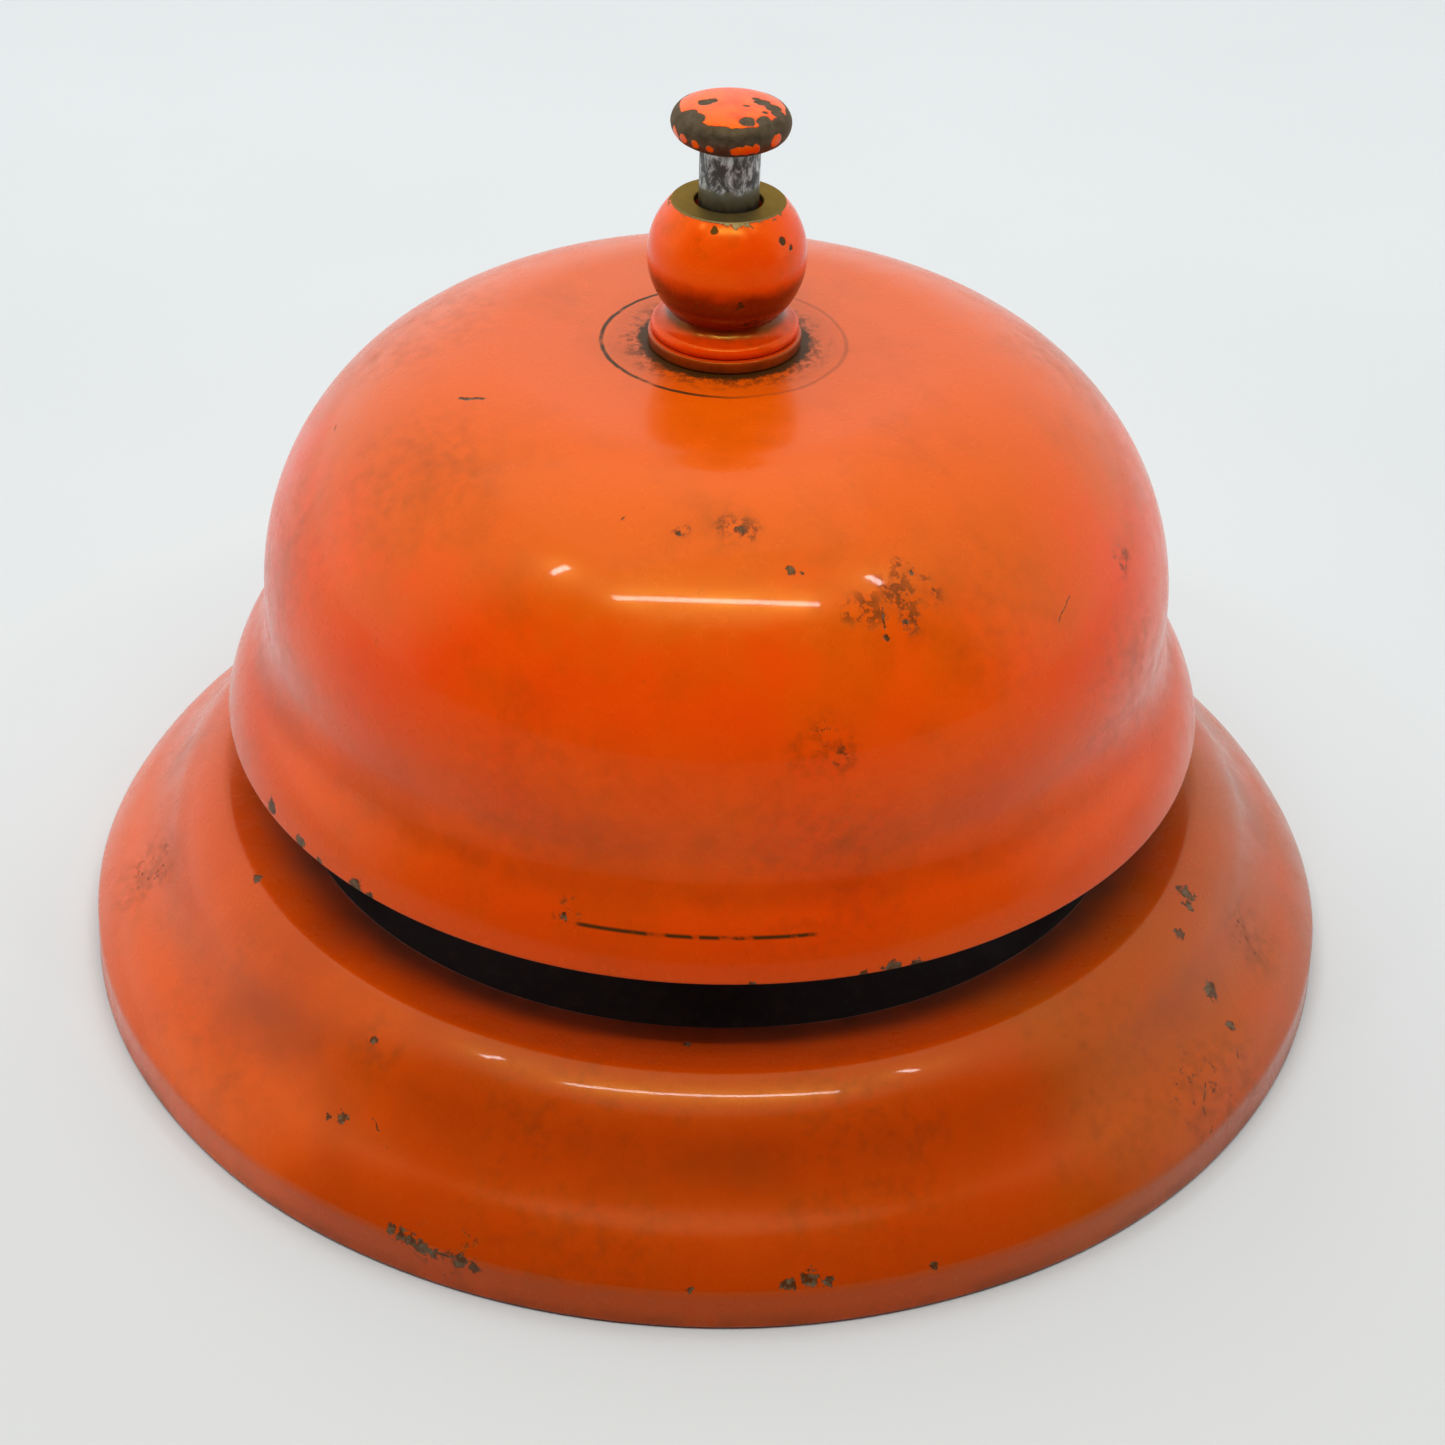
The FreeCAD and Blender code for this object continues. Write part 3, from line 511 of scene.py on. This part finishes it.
def base_enamel():
    """Enamel of the pressed base, browner than the bell, with its marks, and with painted shade under the
    bell's rim, on its front and on its right side.
    """
    def grime_and_shade(graph):
        # Painted shade under the bell's rim and into the mouth; darker in the skirt's valley and towards the
        # foot edge.
        mouth_shade = graph.ramp(graph.radius, 43.4, 48.6, 0.75, 0.05)
        mouth_shade = graph.times(mouth_shade, graph.ramp(graph.height, 14.0, 15.0),
                            graph.ramp(graph.noise(4.0, 4.0, seed=5.0), 0.25, 0.7, 0.55, 1.0))
        valley = graph.times(graph.band(graph.radius, 55.0, 59.0, 2.2),
                             graph.ramp(graph.noise(14.0, 6.0, 0.62, seed=8.0), 0.40, 0.72, 0.05, 0.34))
        foot = graph.times(graph.ramp(graph.height, 0.2, 2.4, 0.40, 0.0),
                           graph.ramp(graph.noise(5.0, 5.0, 0.65, seed=1.0), 0.35, 0.65))
        # painted shade: the mouth's inner edge is painted dark
        inside_shade = graph.ramp(graph.radius, 43.6, 43.3, 0.0, 0.8)
        return graph.most(mouth_shade, valley, foot, inside_shade)

    def tone(graph):
        drift = graph.noise(30.0, 4.0, 0.55, seed=50.0)
        bright = graph.mix(graph.ramp(drift, 0.38, 0.66), BASE_ORANGE, BASE_DEEP_ORANGE)
        turned = graph.math("ADD", graph.azimuth, graph.ramp(drift, 0.3, 0.7, -16.0, 16.0))
        # both tones end before the back, where the azimuth jumps from 180 to -180
        ahead = graph.ramp(turned, 132.0, 162.0, 1.0, 0.0)
        # painted shade: the front is painted a duller orange
        front = graph.times(graph.ramp(turned, -62.0, -26.0),
                            graph.ramp(turned, 70.0, 120.0, 1.0, 0.35), ahead)
        base = graph.mix(front, bright, SHADED_ORANGE)
        # an olive tone on the right side, partly the paint's own tone and partly painted shade
        olive = graph.times(graph.ramp(turned, 14.0, 42.0),
                            graph.ramp(turned, 100.0, 150.0, 1.0, 0.3), ahead,
                            graph.ramp(graph.noise(11.0, 5.0, 0.6, seed=52.0), 0.3, 0.62, 0.35, 1.0))
        return graph.mix(olive, base, OLIVE_SHADED_ORANGE)

    chips = marks([
        (-60.3, 50.5, 17.3, 0.45), (-33.4, 59.5, 9.5, 0.55), (-34.6, 60.0, 9.1, 0.3),
        (-33.5, 54.3, 15.0, 0.35), (9.1, 64.1, 5.0, 0.75), (7.4, 64.3, 4.6, 0.55),
        (10.6, 64.3, 4.6, 0.5), (-0.3, 64.6, 4.3, 0.3), (19.3, 64.4, 4.4, 0.35),
        (65.3, 52.0, 16.2, 0.95), (64.0, 52.6, 15.8, 0.75), (59.6, 53.4, 15.6, 0.6),
        (59.0, 57.9, 11.0, 0.85), (58.1, 60.6, 8.6, 0.45), (-1.5, 46.4, 16.8, 0.3),
        (150, 58.0, 10.9, 0.6), (-140, 64.7, 4.0, 0.8), (100, 64.7, 3.6, 0.6),
        (-100, 52.0, 16.3, 0.5), (-25.0, 64.5, 4.4, 0.55), (-24.2, 64.6, 4.2, 0.75),
        (-23.2, 64.7, 4.0, 0.60), (-22.3, 64.7, 3.8, 0.70), (-21.2, 64.8, 3.6, 0.55),
        (-18.8, 64.8, 3.5, 0.60), (-17.6, 64.8, 3.3, 0.50),
    ])
    rust_areas = marks([
        (-75.0, 58.3, 10.8, 3.4, 0.03), (69.4, 58.6, 10.5, 2.6, 0.03),
        (50.0, 62.5, 7.0, 4.0, 0.02), (-20.0, 64.6, 4.0, 3.0, 0.04),
        (160.0, 60.0, 9.0, 5.0, 0.03), (-130.0, 55.0, 14.0, 4.0, 0.03),
    ])
    smudges = marks([
        (-75, 58.3, 10.8, 5.5, 0.42), (69.4, 58.6, 10.5, 4.0, 0.40),
        (52, 63.0, 6.5, 7.0, 0.34), (-33, 54.3, 15.0, 3.0, 0.30),
        (-10, 57.0, 12.0, 12.0, 0.24), (14, 56.5, 12.4, 10.0, 0.26),
        (40, 57.0, 12.0, 10.0, 0.22), (-50, 59.0, 9.9, 10.0, 0.18),
        (130, 58.0, 10.9, 10.0, 0.26), (-160, 60.0, 9.0, 10.0, 0.24),
    ])
    scratches = [
        (on_bell(-21.0, 64.7, 3.8), on_bell(-19.0, 64.7, 3.7), 0.25),
        (on_bell(48.5, 63.8, 5.6), on_bell(51.0, 62.0, 7.3), 0.13),
        (on_bell(55.4, 63.3, 6.2), on_bell(57.0, 61.9, 7.4), 0.13),
        (on_bell(-28.0, 60.0, 9.1), on_bell(-30.5, 58.6, 10.3), 0.12),
    ]
    return enamel("base_enamel", tone, chips, rust_areas, smudges, scratches, grime_and_shade, 50.0)


def finial_enamel():
    """Enamel on brass: the flat top is worn to aged brass with a ragged edge, and small specks show below.
    The ball's lower half is painted dark, as painted shade.
    """
    graph = Graph("finial_enamel", specular_tint=ENAMEL_TINT)
    drift = graph.noise(7.0, 4.0, 0.6, seed=31.0)
    base = graph.mix(graph.ramp(drift, 0.35, 0.7), ORANGE, DEEP_ORANGE)
    # painted shade: the ball is painted dark below its middle, standing in for the dark room it reflects
    finial_shade_edge = graph.math("ADD", graph.height, graph.ramp(drift, 0.3, 0.7, -0.5, 0.5))
    base = graph.mix(graph.ramp(finial_shade_edge, 71.6, 73.4, 1.0, 0.0), base, SHADED_FINIAL)
    flange = graph.times(graph.ramp(graph.height, 67.9, 67.5), graph.ramp(graph.radius, 5.3, 5.9))
    base = graph.mix(flange, base, DEEP_ORANGE)
    base = graph.mix(graph.ramp(graph.height, 65.9, 65.7, 0.0, 0.85), base, RUST)
    haze = graph.ramp(graph.noise(2.5, 7.0, 0.7, seed=33.0), 0.48, 0.8, 0.0, 0.50)
    base = graph.mix(haze, base, BROWN_ORANGE)
    ragged = graph.warp(1.1, 0.45, seed=34.0)
    chips = marks([
        (-22, 7.0, 71.2, 0.22), (12, 7.3, 71.5, 0.30), (-26, 6.6, 70.9, 0.16), (48, 6.6, 76.9, 0.45),
        (55, 6.9, 76.1, 0.30), (20, 6.1, 68.9, 0.30), (-12, 5.8, 78.2, 0.36), (160, 7.3, 72.0, 0.45),
    ])
    specks = graph.most(
        *[graph.spot(ragged, centre, size) for centre, size in chips],
        graph.stroke(ragged, on_bell(12, 7.35, 71.9), on_bell(9, 7.2, 71.2), 0.3),
        graph.stroke(ragged, on_bell(28, 6.2, 69.4), on_bell(12, 5.9, 68.8), 0.22),
        graph.stroke(ragged, on_bell(40, 6.4, 69.6), on_bell(26, 5.8, 68.7), 0.18),
    )
    lip = graph.uneven(graph.radius, 0.9, 0.55, 0.2, 0.8, roughness=0.65, seed=35.0)
    rubbed = graph.times(graph.ramp(lip, 5.25, 5.40, 1.0, 0.0), graph.ramp(graph.height, 78.1, 78.3))
    flat = graph.ramp(graph.height, 78.72, 78.80)
    brass_shows = graph.most(flat, rubbed)
    brass = graph.mix(graph.noise(1.2, 6.0, 0.7, seed=36.0), AGED_BRASS, DARK_BRASS)
    # painted shade in the cove under the ball, and a darker washer
    cove_shade_and_washer_grime = graph.times(graph.most(graph.band(graph.height, 67.0, 67.9, 0.5),
                                   graph.ramp(graph.height, 65.3, 65.8, 1.0, 0.0)),
                        graph.ramp(graph.noise(1.5, 4.0, seed=37.0), 0.3, 0.7, 0.25, 0.8))
    base = graph.mix(graph.times(cove_shade_and_washer_grime, 0.6), base, GRIME_AND_SHADE)
    base = graph.mix(specks, base, GRIME_AND_SHADE)
    base = graph.mix(brass_shows, base, brass)
    rough = graph.ramp(graph.noise(1.5, 5.0, seed=38.0), 0.3, 0.7, 0.16, 0.30)
    rough = graph.most(rough, graph.times(graph.most(brass_shows, specks), 0.48))
    relief = graph.math("SUBTRACT", graph.times(graph.noise(0.8, 2.0, seed=39.0), 0.10),
                        graph.most(specks, brass_shows))
    graph.put(graph.shader.inputs["Metallic"], graph.times(brass_shows, 0.85))
    return graph.finish(base, rough, relief, 0.06)


def button_enamel():
    """The button: enamel left in ragged islands on top and in flecks on its side, dark metal elsewhere."""
    graph = Graph("button_enamel", specular_tint=ENAMEL_TINT)
    ragged = graph.warp(1.5, 0.60, seed=41.0, detail=5.0)
    across, along, _ = graph.split(ragged)
    on_top = graph.ramp(graph.height, 87.30, 87.42)
    island = graph.times(graph.ramp(graph.reach(across, along), 4.70, 4.82, 1.0, 0.0), on_top)
    bare_spots = [
        (-2.4, -0.3, 88.1, 0.70), (-1.8, 0.1, 88.1, 0.50), (2.7, 0.2, 88.0, 0.75), (3.6, -0.7, 87.9, 0.80),
        (2.2, 0.9, 88.1, 0.40), (4.2, -1.6, 87.8, 0.55), (-4.0, -2.4, 87.8, 0.95), (-3.1, -3.2, 87.8, 0.75),
        (1.4, -3.7, 87.9, 0.70), (3.0, -3.4, 87.8, 0.80), (1.3, -1.0, 88.2, 0.24), (3.1, -2.0, 88.0, 0.28),
    ]
    worn = graph.most(*[graph.spot(ragged, spot[:3], spot[3]) for spot in bare_spots])
    paint_flecks = marks([
        (-66, 5.3, 86.0, 0.60), (-52, 5.3, 85.9, 0.50), (-36, 5.3, 85.8, 0.42), (-20, 5.3, 85.7, 0.42),
        (7, 5.3, 85.7, 0.55), (16, 5.3, 85.7, 0.60), (25, 5.3, 85.8, 0.50), (48, 5.3, 86.1, 0.62),
        (120, 5.3, 86.2, 0.9), (-140, 5.3, 86.3, 0.9), (175, 5.3, 86.2, 0.6),
    ])
    flecks = graph.most(*[graph.spot(ragged, centre, size) for centre, size in paint_flecks])
    paint = graph.most(graph.times(island, graph.math("SUBTRACT", 1.0, worn)), flecks)
    metal = graph.mix(graph.ramp(graph.noise(0.8, 6.0, 0.7, seed=43.0), 0.3, 0.7), OLIVE_STEEL, BUTTON_STEEL)
    tone = graph.mix(graph.ramp(graph.noise(1.6, 4.0, seed=44.0), 0.35, 0.7), BUTTON_ORANGE, DEEP_ORANGE)
    base = graph.mix(paint, metal, tone)
    rough = graph.mix(paint, STEEL_ROUGHNESS, PAINT_ROUGHNESS)
    graph.put(graph.shader.inputs["Metallic"], graph.times(graph.math("SUBTRACT", 1.0, paint), 0.35))
    relief = graph.math("ADD", paint, graph.times(graph.noise(0.5, 5.0, 0.7, seed=45.0), 0.35))
    return graph.finish(base, rough, relief, 0.07)


def stem_metal():
    """Galvanised-looking steel, mottled bright and dark above, greasy olive where it enters the finial."""
    graph = Graph("stem_metal", metallic=0.9)
    stretched = graph.vector("MULTIPLY", graph.place, (1.0, 1.0, 0.55))
    blotch = graph.noise(0.95, 6.0, 0.72, place=stretched, seed=51.0, distortion=0.6)
    bright = graph.mix(graph.ramp(blotch, 0.44, 0.62), STEM_DARK, STEM_BRIGHT)
    edge = graph.uneven(graph.height, 1.2, 0.5, 0.2, 0.8, seed=52.0)
    greasy = graph.ramp(edge, 80.4, 80.9, 1.0, 0.0)
    olive = graph.mix(graph.noise(1.0, 4.0, seed=53.0), GREASE_DARK, GREASE_LIGHT)
    base = graph.mix(greasy, bright, olive)
    rough = graph.ramp(blotch, 0.35, 0.65, 0.52, 0.28)
    return graph.finish(base, rough, blotch, 0.05)


def plain_metal(name, low, high, size, rough_low, rough_high, seed):
    """Hidden working metal: mottled tone, fine tooling relief and a few dark stains."""
    graph = Graph(name, metallic=0.9)
    tone = graph.noise(size, 6.0, 0.65, seed=seed)
    base = graph.mix(graph.ramp(tone, 0.3, 0.7), low, high)
    patch = graph.ramp(graph.noise(size * 2.5, 6.0, 0.7, seed=seed + 1), 0.52, 0.74, 0.0, 0.35)
    base = graph.mix(patch, base, METAL_STAIN)
    rough = graph.ramp(tone, 0.3, 0.7, rough_high, rough_low)
    rough = graph.math("ADD", rough, graph.times(patch, 0.4))
    squeezed = graph.vector("MULTIPLY", graph.place, (1.0, 1.0, 6.0))
    lines = graph.noise(0.35, 2.0, 0.5, place=squeezed, seed=seed + 2)
    return graph.finish(base, rough, graph.math("ADD", lines, tone), 0.02)


def black_paint():
    """Dull black paint with dust lying on what faces up."""
    graph = Graph("black_paint", ior=1.45)
    tone = graph.noise(6.0, 7.0, 0.65, seed=61.0)
    base = graph.mix(graph.ramp(tone, 0.3, 0.75), PAN_BLACK, PAN_GREY)
    dust = graph.times(graph.ramp(graph.noise(2.0, 8.0, 0.75, seed=62.0), 0.45, 0.8, 0.0, 0.5),
                       graph.ramp(graph.height, 8.2, 7.9))
    base = graph.mix(dust, base, PAN_DUST)
    rub = graph.ramp(graph.noise(1.0, 4.0, seed=63.0), 0.72, 0.78, 0.0, 0.6)
    base = graph.mix(rub, base, RUST)
    return graph.finish(base, graph.ramp(tone, 0.3, 0.7, 0.5, 0.75), tone, 0.05)


# --- pieces -------------------------------------------------------------------------------------


WOBBLE_SIZE = 22.0
STEADY_RADIUS = 12.0
SHELL_SEGMENTS = 320
WASHER_SEGMENTS = 160
FINIAL_SEGMENTS = 192
BUTTON_SEGMENTS = 160
STEM_SEGMENTS = 96

# heights and radii that two neighbouring pieces share
CROWN_TOP = 64.6
WASHER_TOP = 65.8
SPIGOT_RADIUS = 2.0
BUTTON_UNDERSIDE = 84.2
SPIGOT_TOP = 86.2


def spun(wobble, seed):
    """A shape function that leaves a spun shell slightly out of round, less so near its middle."""
    def shape(angle, radius, height):
        place = Vector((math.sin(angle) * radius, math.cos(angle) * radius, height)) / WOBBLE_SIZE
        lift = noise.noise(place + Vector((seed, 0, 0))) * wobble
        return radius + lift * min(1.0, radius / STEADY_RADIUS), height
    return shape


def base_shell(material):
    """The pressed base, with a rounded foot edge and a rolled edge at the mouth."""
    points = outline([
        (64.0, 0.0), (65.0, 0.0), (64.7, 4.0, 22.9), (60.9, 8.3, -18.3), (56.2, 13.0, 34.0),
        (50.9, 17.3, 30.0), (50.1, 17.38, -3.0), (43.4, 16.3), (43.4, 15.3), (50.0, 16.37),
        (55.5, 12.3, -20.0), (60.2, 7.6), (63.7, 3.75),
    ])
    return revolve("base_shell_skin", soften(points, 0.45), material, "stand", ["base_shell"],
                   segments=SHELL_SEGMENTS, shape=spun(0.10, 3.0))


def bell_dome(material):
    """The spun bell."""
    points = outline([
        (4.1, 63.1), (10.5, 63.1), (20.2, 62.9, -88.0), (43.5, 39.4), (43.6, 36.6, 43.0),
        (45.85, 31.15, -38.0), (48.0, 26.6), (49.5, 26.6), (49.2, 27.6, 20.0), (46.9, 32.2, -31.0),
        (45.05, 37.0), (45.0, 39.4, 88.0), (20.4, 64.4, 1.0), (4.1, CROWN_TOP),
    ])
    return revolve("bell_dome_skin", soften(points, 0.5), material, "stand", ["bell_dome"],
                   segments=SHELL_SEGMENTS, shape=spun(0.12, 9.0))


def cap_washer(material):
    points = outline([(4.0, CROWN_TOP), (7.3, CROWN_TOP), (7.3, WASHER_TOP), (4.0, WASHER_TOP)])
    return revolve("cap_washer_skin", soften(points, 0.45), material, "stand", ["cap_washer"],
                   segments=WASHER_SEGMENTS)


def finial_nut(material):
    points = outline([
        (4.0, WASHER_TOP), (6.65, WASHER_TOP, 130.0), (6.65, 67.0, -66.0), (5.2, 68.1, 92.0), (5.2, 78.9),
        (3.2, 78.9), (3.2, 72.0), (4.0, 72.0),
    ])
    return revolve("finial_nut_skin", soften(points, 0.18), material, "stand", ["finial_nut"],
                   segments=FINIAL_SEGMENTS)


def push_button(material):
    points = outline([
        (SPIGOT_RADIUS, BUTTON_UNDERSIDE), (2.9, BUTTON_UNDERSIDE, 20.0), (4.9, 85.1, 55.0),
        (5.5, 86.6, 40.0), (4.9, 87.65, 20.0), (3.4, 88.1, 6.4), (0.0, 88.29), (0.0, SPIGOT_TOP),
        (SPIGOT_RADIUS, SPIGOT_TOP),
    ])
    return revolve("push_button_skin", soften(points, 0.12), material, "plunger", ["push_button"],
                   segments=BUTTON_SEGMENTS)


def plunger_stem(material):
    points = outline([
        (0.0, 45.2, 90.0), (1.6, 46.8), (1.6, 47.1), (1.3, 47.1), (1.3, 47.8), (1.6, 47.8), (1.6, 67.0),
        (2.8, 67.0), (2.8, BUTTON_UNDERSIDE), (SPIGOT_RADIUS, BUTTON_UNDERSIDE),
        (SPIGOT_RADIUS, SPIGOT_TOP), (0.0, SPIGOT_TOP),
    ])
    return revolve("plunger_stem_skin", soften(points, 0.12), material, "plunger", ["plunger_stem"],
                   segments=STEM_SEGMENTS)


WIRE_RADIUS = 0.25
COIL_TURNS = 10
COIL_SIDES = 10
COIL_STEPS = 36


def return_spring(material):
    """Round wire coiled between the post's shoulder and the stem."""
    low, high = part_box("return_spring")
    mean = high.x / MM - WIRE_RADIUS
    start, finish = low.z / MM + WIRE_RADIUS, high.z / MM - WIRE_RADIUS
    steps = COIL_TURNS * COIL_STEPS
    vertices, faces = [], []
    for step in range(steps + 1):
        angle = 2 * math.pi * step / COIL_STEPS
        height = start + (finish - start) * step / steps
        outward = Vector((math.cos(angle), math.sin(angle), 0))
        for side in range(COIL_SIDES):
            tilt = 2 * math.pi * side / COIL_SIDES
            point = outward * (mean + WIRE_RADIUS * math.cos(tilt))
            point += Vector((0, 0, height + WIRE_RADIUS * math.sin(tilt)))
            vertices.append(tuple(point * MM))
        if step:
            ring = step * COIL_SIDES
            for side in range(COIL_SIDES):
                onward = (side + 1) % COIL_SIDES
                last = ring - COIL_SIDES
                faces.append((ring + side, ring + onward, last + onward, last + side))
    faces.append(tuple(range(COIL_SIDES)))
    faces.append(tuple(range(steps * COIL_SIDES, (steps + 1) * COIL_SIDES)))
    spring = mesh_object("return_spring_coil", vertices, faces, material, "stand", ["return_spring"])
    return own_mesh(spring)


CAD_SHARP_EDGE = 30.0


def dress(node, material):
    """Give a CAD node a material of its own."""
    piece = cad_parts[node]
    piece.data.materials.clear()
    piece.data.materials.append(material)
    for polygon in piece.data.polygons:
        polygon.use_smooth = True
    piece.data.set_sharp_from_angle(angle=math.radians(CAD_SHARP_EDGE))


def build_bell():
    """All the pieces: those that show are remade, and the rest are dressed."""
    bell_paint = bell_enamel()
    base_shell(base_enamel())
    bell_dome(bell_paint)
    finial_paint = finial_enamel()
    cap_washer(finial_paint)
    finial_nut(finial_paint)
    push_button(button_enamel())
    plunger_stem(stem_metal())
    zinc = plain_metal("zinc_plate", (0.30, 0.29, 0.26), (0.52, 0.51, 0.46), 5.0, 0.38, 0.60, 71.0)
    spring_steel = plain_metal("spring_steel", (0.22, 0.21, 0.20), (0.42, 0.41, 0.39), 1.5, 0.30, 0.45, 74.0)
    brass = plain_metal("tarnished_brass", (0.30, 0.20, 0.06), (0.52, 0.38, 0.14), 3.0, 0.30, 0.48, 77.0)
    return_spring(spring_steel)
    dress("mechanism_pan", black_paint())
    for node in ("bell_frame", "frame_rivets", "post_tube", "lock_washer", "post_nut", "seat_nut",
                 "seat_washer", "hammer_lever", "hammer_rivet"):
        dress(node, zinc)
    for node in ("retaining_clip", "pivot_clip", "pivot_pin"):
        dress(node, spring_steel)
    for node in ("hammer_head", "hammer_bush", "pivot_spacers"):
        dress(node, brass)


# --- stage --------------------------------------------------------------------------------------


CAMERA_DISTANCE = 0.2823
CAMERA_ELEVATION = 38.3
CAMERA_ROLL = 2.0
CAMERA_LENS = 64.15
CAMERA_AIM = (0.0011, 0.0, 0.0202)
SENSOR_WIDTH = 36.0
FLOOR_HALF = 3.0
FLOOR_DROP = 0.0002
FLOOR_NEAR_PAINTED_SHADE = (0.585, 0.595, 0.580)
FLOOR_MIDDLE = (0.675, 0.700, 0.695)
FLOOR_FAR_PAINTED_LIGHT = (0.765, 0.790, 0.795)
FLOOR_SHADE = (0.50, 0.51, 0.51)
ROOM_COLOUR = (0.97, 0.99, 1.0, 1.0)
ROOM_GLOW = 0.95
ROOM_DARKNESS = 0.94
LIGHT_AIM = (0, 0, 0.04)
STRIP_HEIGHT = 0.245


def make_camera():
    """The camera looks down from the -Y side, close enough for strong perspective, and rolls a little."""
    data = bpy.data.cameras.new("camera")
    data.lens = CAMERA_LENS
    data.sensor_width = SENSOR_WIDTH
    data.clip_start = 0.01
    camera = bpy.data.objects.new("camera", data)
    bpy.context.scene.collection.objects.link(camera)
    elevation = math.radians(CAMERA_ELEVATION)
    place = Vector((0, -CAMERA_DISTANCE * math.cos(elevation), CAMERA_DISTANCE * math.sin(elevation)))
    look = (Vector(CAMERA_AIM) - place).to_track_quat("-Z", "Y").to_matrix().to_4x4()
    roll = Matrix.Rotation(math.radians(CAMERA_ROLL), 4, "Z")
    camera.matrix_world = Matrix.Translation(place) @ look @ roll
    bpy.context.scene.camera = camera


def make_floor():
    """A wide pale floor, painted darker near the camera and lighter towards the back as painted shade and
    light, with a faint unevenness.
    """
    corners = [(-FLOOR_HALF, -FLOOR_HALF, 0), (FLOOR_HALF, -FLOOR_HALF, 0),
               (FLOOR_HALF, FLOOR_HALF, 0), (-FLOOR_HALF, FLOOR_HALF, 0)]
    mesh = bpy.data.meshes.new("floor")
    mesh.from_pydata(corners, [], [(0, 1, 2, 3)])
    graph = Graph("floor_board")
    tone = graph.noise(60.0, 4.0, 0.5, seed=81.0)
    depth = graph.split(graph.place)[1]
    # painted shade and light: the floor's colour darkens towards the camera and lightens towards the back
    near = graph.mix(graph.ramp(depth, -90.0, 30.0), FLOOR_NEAR_PAINTED_SHADE, FLOOR_MIDDLE)
    far = graph.mix(graph.ramp(depth, 30.0, 230.0), near, FLOOR_FAR_PAINTED_LIGHT)
    base = graph.mix(graph.ramp(tone, 0.3, 0.7, 0.0, 0.04), far, FLOOR_SHADE)
    mesh.materials.append(graph.finish(base, 0.75))
    floor = bpy.data.objects.new("floor", mesh)
    floor.location.z = -FLOOR_DROP
    bpy.context.scene.collection.objects.link(floor)


def panel(name, place, size, power):
    """A soft rectangular light that the camera doesn't see."""
    data = bpy.data.lights.new(name, "AREA")
    data.shape = "RECTANGLE"
    data.size, data.size_y = size
    data.energy = power
    light = bpy.data.objects.new(name, data)
    bpy.context.scene.collection.objects.link(light)
    light.location = place
    light.rotation_euler = (Vector(LIGHT_AIM) - Vector(place)).to_track_quat("-Z", "Y").to_euler()
    light.visible_camera = False


def make_room():
    """A pale room, dark low on the camera's side, lighter overhead, on the left and at both sides."""
    world = bpy.data.worlds.new("room")
    bpy.context.scene.world = world
    world.use_nodes = True
    nodes, links = world.node_tree.nodes, world.node_tree.links
    background = nodes["Background"]
    where = nodes.new("ShaderNodeTexCoord")
    parts = nodes.new("ShaderNodeSeparateXYZ")
    links.new(where.outputs["Generated"], parts.inputs[0])
    across, along, up = parts.outputs

    def step(value, low, high, bottom, top):
        node = nodes.new("ShaderNodeMapRange")
        node.interpolation_type = "SMOOTHSTEP"
        for socket, number in zip(node.inputs, (value, low, high, bottom, top)):
            fill(links, socket, number)
        return node.outputs[0]

    def combine(operation, first, second=None):
        node = nodes.new("ShaderNodeMath")
        node.operation = operation
        for socket, number in zip(node.inputs, (first, second)):
            fill(links, socket, number)
        return node.outputs[0]

    front = step(along, -0.42, -0.08, 1.0, 0.0)
    low = step(up, 0.78, 0.86, 1.0, 0.0)
    dark = combine("MULTIPLY", combine("MULTIPLY", front, low), ROOM_DARKNESS)
    overhead = step(up, 0.55, 0.95, 0.0, 0.30)
    left = step(across, -0.9, 0.3, 0.25, 0.0)
    sides = step(combine("ABSOLUTE", across), 0.70, 0.98, 0.0, 0.12)
    glow = combine("ADD", combine("ADD", combine("ADD", overhead, left), sides), ROOM_GLOW)
    links.new(combine("MULTIPLY", glow, combine("SUBTRACT", 1.0, dark)), background.inputs["Strength"])
    background.inputs["Color"].default_value = ROOM_COLOUR


def make_light():
    """The room, a large soft light behind, and the thin strip that draws the line on the bell's shoulder."""
    make_room()
    panel("strip_light", (0.0, -0.122, STRIP_HEIGHT), (0.17, 0.007), 0.20)
    for side in (-1, 1):
        panel(f"strip_end_{side}", (side * 0.120, -0.075, STRIP_HEIGHT), (0.006, 0.02), 0.028)
    panel("top_light", (-0.1, 0.25, 1.0), (0.9, 0.8), 1.2)


build_bell()
make_camera()
make_floor()
make_light()
bpy.context.scene.view_settings.view_transform = "Standard"
